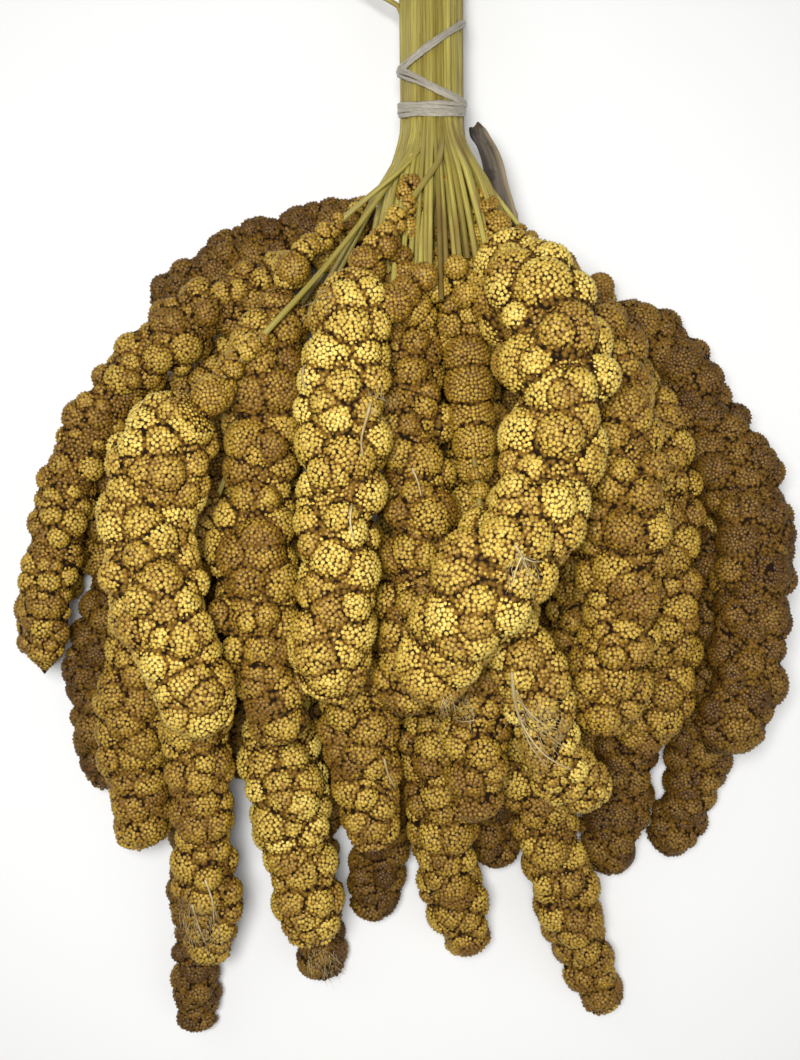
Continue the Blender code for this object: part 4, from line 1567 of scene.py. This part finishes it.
@dataclass
class Chaff:
    """Pale stalk fragments and bristles that lie on the heads and show from above."""

    tree: BVHTree
    finish: StrawFinish = StrawFinish(
        "pale_chaff", (0.72, 0.62, 0.36), (0.5, 0.39, 0.19), (0.35, 0.24, 0.1)
    )
    stalks: tuple[Stalk, ...] = (
        Stalk(((515, 545), (523, 558), (528, 572), (540, 582)), 0.5),
        Stalk(((522, 556), (516, 570), (513, 584)), 0.35),
        Stalk(((524, 558), (534, 562), (543, 561)), 0.3),
        Stalk(((512, 672), (514, 700), (524, 728), (545, 756), (572, 770)), 0.55),
        Stalk(((516, 690), (530, 716), (552, 738), (566, 748)), 0.45),
        Stalk(((513, 680), (518, 712), (530, 745), (548, 768)), 0.4),
        Stalk(((518, 700), (540, 722), (560, 730)), 0.35),
        Stalk(((384, 758), (388, 774), (396, 790)), 0.5),
        Stalk(((371, 402), (366, 420), (361, 440), (363, 456)), 0.6),
        Stalk(((372, 410), (380, 418), (386, 424)), 0.4),
        Stalk(((304, 366), (302, 378), (306, 388)), 0.6),
        Stalk(((412, 468), (418, 482), (421, 496)), 0.35),
        Stalk(((352, 505), (350, 522), (354, 540)), 0.4),
        Stalk(((450, 716), (462, 722), (476, 720)), 0.35),
        Stalk(((192, 905), (198, 925), (206, 945)), 0.4),
        Stalk(((205, 880), (212, 900), (214, 922)), 0.4),
    )
    brushes: tuple[Brush, ...] = (
        Brush((200, 925), 26, 90, (0.1, -1.0)),
        Brush((322, 962), 16, 60, (0.2, -1.0)),
        Brush((535, 725), 28, 110, (0.6, -0.8)),
        Brush((455, 712), 22, 60, (0.3, -1.0)),
        Brush((430, 235), 40, 60, (0.0, -1.0)),
        Brush((310, 285), 26, 36, (-0.5, -0.8)),
        Brush((380, 395), 14, 24, (0.2, -1.0)),
        Brush((522, 570), 18, 30, (0.3, -1.0)),
    )

    bristle_radius: float = 0.15
    bristle_lengths: tuple[float, float] = (2.5, 5.5)
    floor_over: float = 3.0

    def drop(self, pixel: tuple[float, float], lift: float) -> np.ndarray | None:
        """The place on the mop that a pixel of the picture shows.

        Args:
            pixel: The picture's pixel.
            lift: How far above the husk the place is wanted.

        Returns:
            The place in mm, or None where the mop isn't under the pixel.
        """
        eye = np.array(EYE)
        across = (pixel[0] - PICTURE_MIDDLE[0]) * FLOOR_SCALE
        along = (PICTURE_MIDDLE[1] - pixel[1]) * FLOOR_SCALE
        way = unit(np.array([eye[0] + across, eye[1] + along, 0.0]) - eye)
        hit = self.tree.ray_cast(Vector(eye * MM), Vector(way))[0]
        if hit is None:
            return None
        return np.array(tuple(hit)) / MM - way * lift

    def build(self) -> list[bpy.types.Object]:
        """Lay the fragments and bristles on the heads.

        Returns:
            The finished piece, in a list.
        """
        shape = bmesh.new()
        for number, stalk in enumerate(self.stalks):
            fine = resample(np.array([(*pixel, 0.0) for pixel in stalk.route]), 12)
            found = [self.drop((x, y), stalk.lift + stalk.radius) for x, y, _ in fine]
            line = np.array([point for point in found if point is not None])
            line[1:-1] = (line[:-2] + 2 * line[1:-1] + line[2:]) / 4
            add_straw(shape, line, stalk.radius, 6, 1200 + number, step=2.0, taper=0.5, hollow=False)
        draw = np.random.default_rng(88)
        for brush in self.brushes:
            for _ in range(brush.count):
                turn = draw.uniform(0.0, 2 * math.pi)
                far = brush.reach * math.sqrt(draw.uniform())
                x, y = brush.middle
                foot = self.drop((x + far * math.cos(turn), y + far * math.sin(turn)), 0.3)
                if foot is None or foot[2] < self.floor_over:
                    continue
                way = unit(np.array([*brush.way, 0.35]) + draw.normal(0.0, 0.45, 3))
                bend = draw.normal(0.0, 0.6, 3)
                reach = way * draw.uniform(*self.bristle_lengths)
                line = np.array([foot, foot + reach / 2 + bend * 0.3, foot + reach + bend])
                line[:, 2] = np.maximum(line[:, 2], 1.0)
                seed = int(draw.integers(10000))
                add_straw(shape, line, self.bristle_radius, 3, seed, step=1.6, taper=0.8, hollow=False)
        piece = keep_mesh("pale_chaff", shape, [self.finish.material()])
        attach(piece, BODY)
        LOG.info("%s: %d faces", piece.name, len(piece.data.polygons))
        return [piece]


@dataclass
class DryLeaf:
    """The withered leaf sheath beside the bundle."""

    frame: dict
    rows: int = 14
    ring_share: float = 0.62
    ring_width: float = 0.9
    ring_height: float = 0.45
    wrinkle: float = 0.28
    top_share: float = 0.55
    top_shift: tuple[float, float, float] = (-1.5, 4.5, -0.5)
    spread: float = 1.7
    finish: DryLeafFinish = DryLeafFinish(
        name="withered_leaf",
        pale=(0.12, 0.093, 0.06),
        deep=(0.045, 0.034, 0.022),
        blotch_and_shade=(0.024, 0.017, 0.012),
        edge=(0.29, 0.22, 0.125),
    )

    def across_shares(self, shares: np.ndarray, beside: np.ndarray) -> np.ndarray:
        """Where each point lies across the blade, from 0 beside the bundle to 1.

        Args:
            shares: Each point's share of the blade's length.
            beside: How far each point lies to the side, in mm.

        Returns:
            One share a point.
        """
        order = np.clip((shares * self.rows).astype(int), 0, self.rows)
        middles = np.arange(self.rows + 1) + 0.5
        near = [beside[order == row] if (order == row).any() else beside for row in range(self.rows + 1)]
        least = np.interp(shares * self.rows, middles, [row.min() for row in near])
        most = np.interp(shares * self.rows, middles, [row.max() for row in near])
        return np.clip((beside - least) / np.maximum(most - least, 0.5), 0.0, 1.0)

    def build(self) -> list[bpy.types.Object]:
        """Dress the leaf's own solid with wrinkles along it, a raised node ring and a wider blade.

        Returns:
            The finished pieces.
        """
        shape = bmesh.new()
        shape.from_mesh(self.frame["nodes"]["dry_leaf"].data)
        bmesh.ops.remove_doubles(shape, verts=shape.verts, dist=WELD)
        bmesh.ops.join_triangles(
            shape, faces=shape.faces, angle_face_threshold=0.9, angle_shape_threshold=0.9
        )
        places = np.array([tuple(vertex.co) for vertex in shape.verts]) / MM
        low = places[places[:, 1].argmin()]
        high = places[places[:, 1].argmax()]
        way = unit((low - high) * np.array([1.0, 1.0, 0.0]))
        aside = np.array([-way[1], way[0], 0.0])
        length = float((low - high) @ way)
        bmesh.ops.subdivide_edges(
            shape, edges=shape.edges, cuts=3, use_grid_fill=True, smooth=0.6, smooth_falloff="SMOOTH"
        )
        bmesh.ops.recalc_face_normals(shape, faces=shape.faces)
        shape.normal_update()
        points = np.array([tuple(vertex.co) for vertex in shape.verts]) / MM
        along = (points - high) @ way
        shares = along / length
        across = self.across_shares(shares, (points - high) @ aside)
        creases = np.sin(9.0 * across + 0.5 * np.sin(along / 5.0)) * np.cos(along / 3.7 + 4.0 * across)
        ring = self.ring_height * np.exp(-(((shares - self.ring_share) * length / self.ring_width) ** 2))
        top = np.clip(1 - shares / self.top_share, 0.0, 1.0) ** 1.3
        # The blade is widened on the bundle's side, where the material paints its shadow.
        wider = -self.spread * (1 - across) * np.sin(math.pi * np.clip(shares, 0.0, 1.0)) ** 0.6
        moves = np.outer(top, self.top_shift) + np.outer(wider, aside * np.sign(aside[0]))
        for vertex, shift, move in zip(shape.verts, (self.wrinkle * creases + ring) * MM, moves * MM):
            vertex.co += vertex.normal * float(shift) + Vector(move)
        layer = shape.loops.layers.uv.new("UVMap")
        shape.verts.index_update()
        for face in shape.faces:
            for loop in face.loops:
                number = loop.vert.index
                loop[layer].uv = (across[number], along[number] / 6.0)
        piece = keep_mesh("leaf_sheath", shape, [self.finish.material()])
        finer = piece.modifiers.new("finer", "SUBSURF")
        finer.levels = 1
        finer.render_levels = 1
        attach(piece, BODY)
        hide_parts("dry_leaf")
        LOG.info("%s", piece.name)
        return [piece]


@dataclass
class Studio:
    """The pale floor, the soft lights and the camera over the bunch."""

    camera_place: tuple[float, float, float] = EYE
    lens: float = 40.2
    room_light: float = 0.2

    def build_floor(self) -> None:
        """A wide pale floor under the bunch."""
        shape = bmesh.new()
        bmesh.ops.create_grid(shape, x_segments=1, y_segments=1, size=3.0)
        floor = keep_mesh("floor", shape, [FloorFinish().material()], smooth=False)

    def build_light(self, name: str, place: tuple, aim: tuple, size: float, power: float) -> None:
        """A soft square light.

        Args:
            name: The light's name.
            place: Where it is, in metres.
            aim: The point that it faces, in metres.
            size: Its side, in metres.
            power: Its power in watts.
        """
        data = bpy.data.lights.new(name, "AREA")
        data.size = size
        data.energy = power
        lamp = bpy.data.objects.new(name, data)
        lamp.location = place
        lamp.rotation_euler = (Vector(aim) - Vector(place)).to_track_quat("-Z", "Y").to_euler()
        bpy.context.scene.collection.objects.link(lamp)

    def build(self) -> None:
        """Set up floor, lights, world and camera."""
        self.build_floor()
        self.build_light("key", (-0.04, 0.01, 0.6), (0.0, -0.02, 0.04), 0.14, 3.7)
        self.build_light("fill", (0.9, -0.7, 1.0), (0.0, 0.0, 0.05), 1.2, 3.3)
        self.build_light("back_fill", (-1.0, 0.9, 0.9), (0.0, 0.0, 0.05), 1.2, 2.9)
        world = bpy.data.worlds.new("soft_room")
        world.use_nodes = True
        background = world.node_tree.nodes["Background"]
        background.inputs["Color"].default_value = (1.0, 1.0, 1.0, 1.0)
        background.inputs["Strength"].default_value = self.room_light
        bpy.context.scene.world = world
        bpy.context.scene.view_settings.view_transform = "Standard"
        data = bpy.data.cameras.new("camera")
        data.lens = self.lens
        data.sensor_width = 36.0
        data.clip_start = 0.01
        camera = bpy.data.objects.new("camera", data)
        camera.location = Vector(self.camera_place) * MM
        bpy.context.scene.collection.objects.link(camera)
        bpy.context.scene.camera = camera


def main() -> None:
    """Load the frame and build every sub-assembly in order."""
    logging.basicConfig(level=logging.INFO, format="%(name)s %(message)s")
    for thing in list(bpy.data.objects):
        bpy.data.objects.remove(thing, do_unlink=True)
    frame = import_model()
    bundle = Bundle(BAND)
    mop = Mop(frame, bundle)
    pieces = mop.build()
    pieces += Straws(frame, bundle, mop.bases).build()
    pieces += Tie(bundle).build()
    pieces += DryLeaf(frame).build()
    pieces += Chaff(mop.tree).build()
    LOG.info("%d pieces in all", len(pieces))
    Studio().build()


if __name__ == "__main__":
    main()
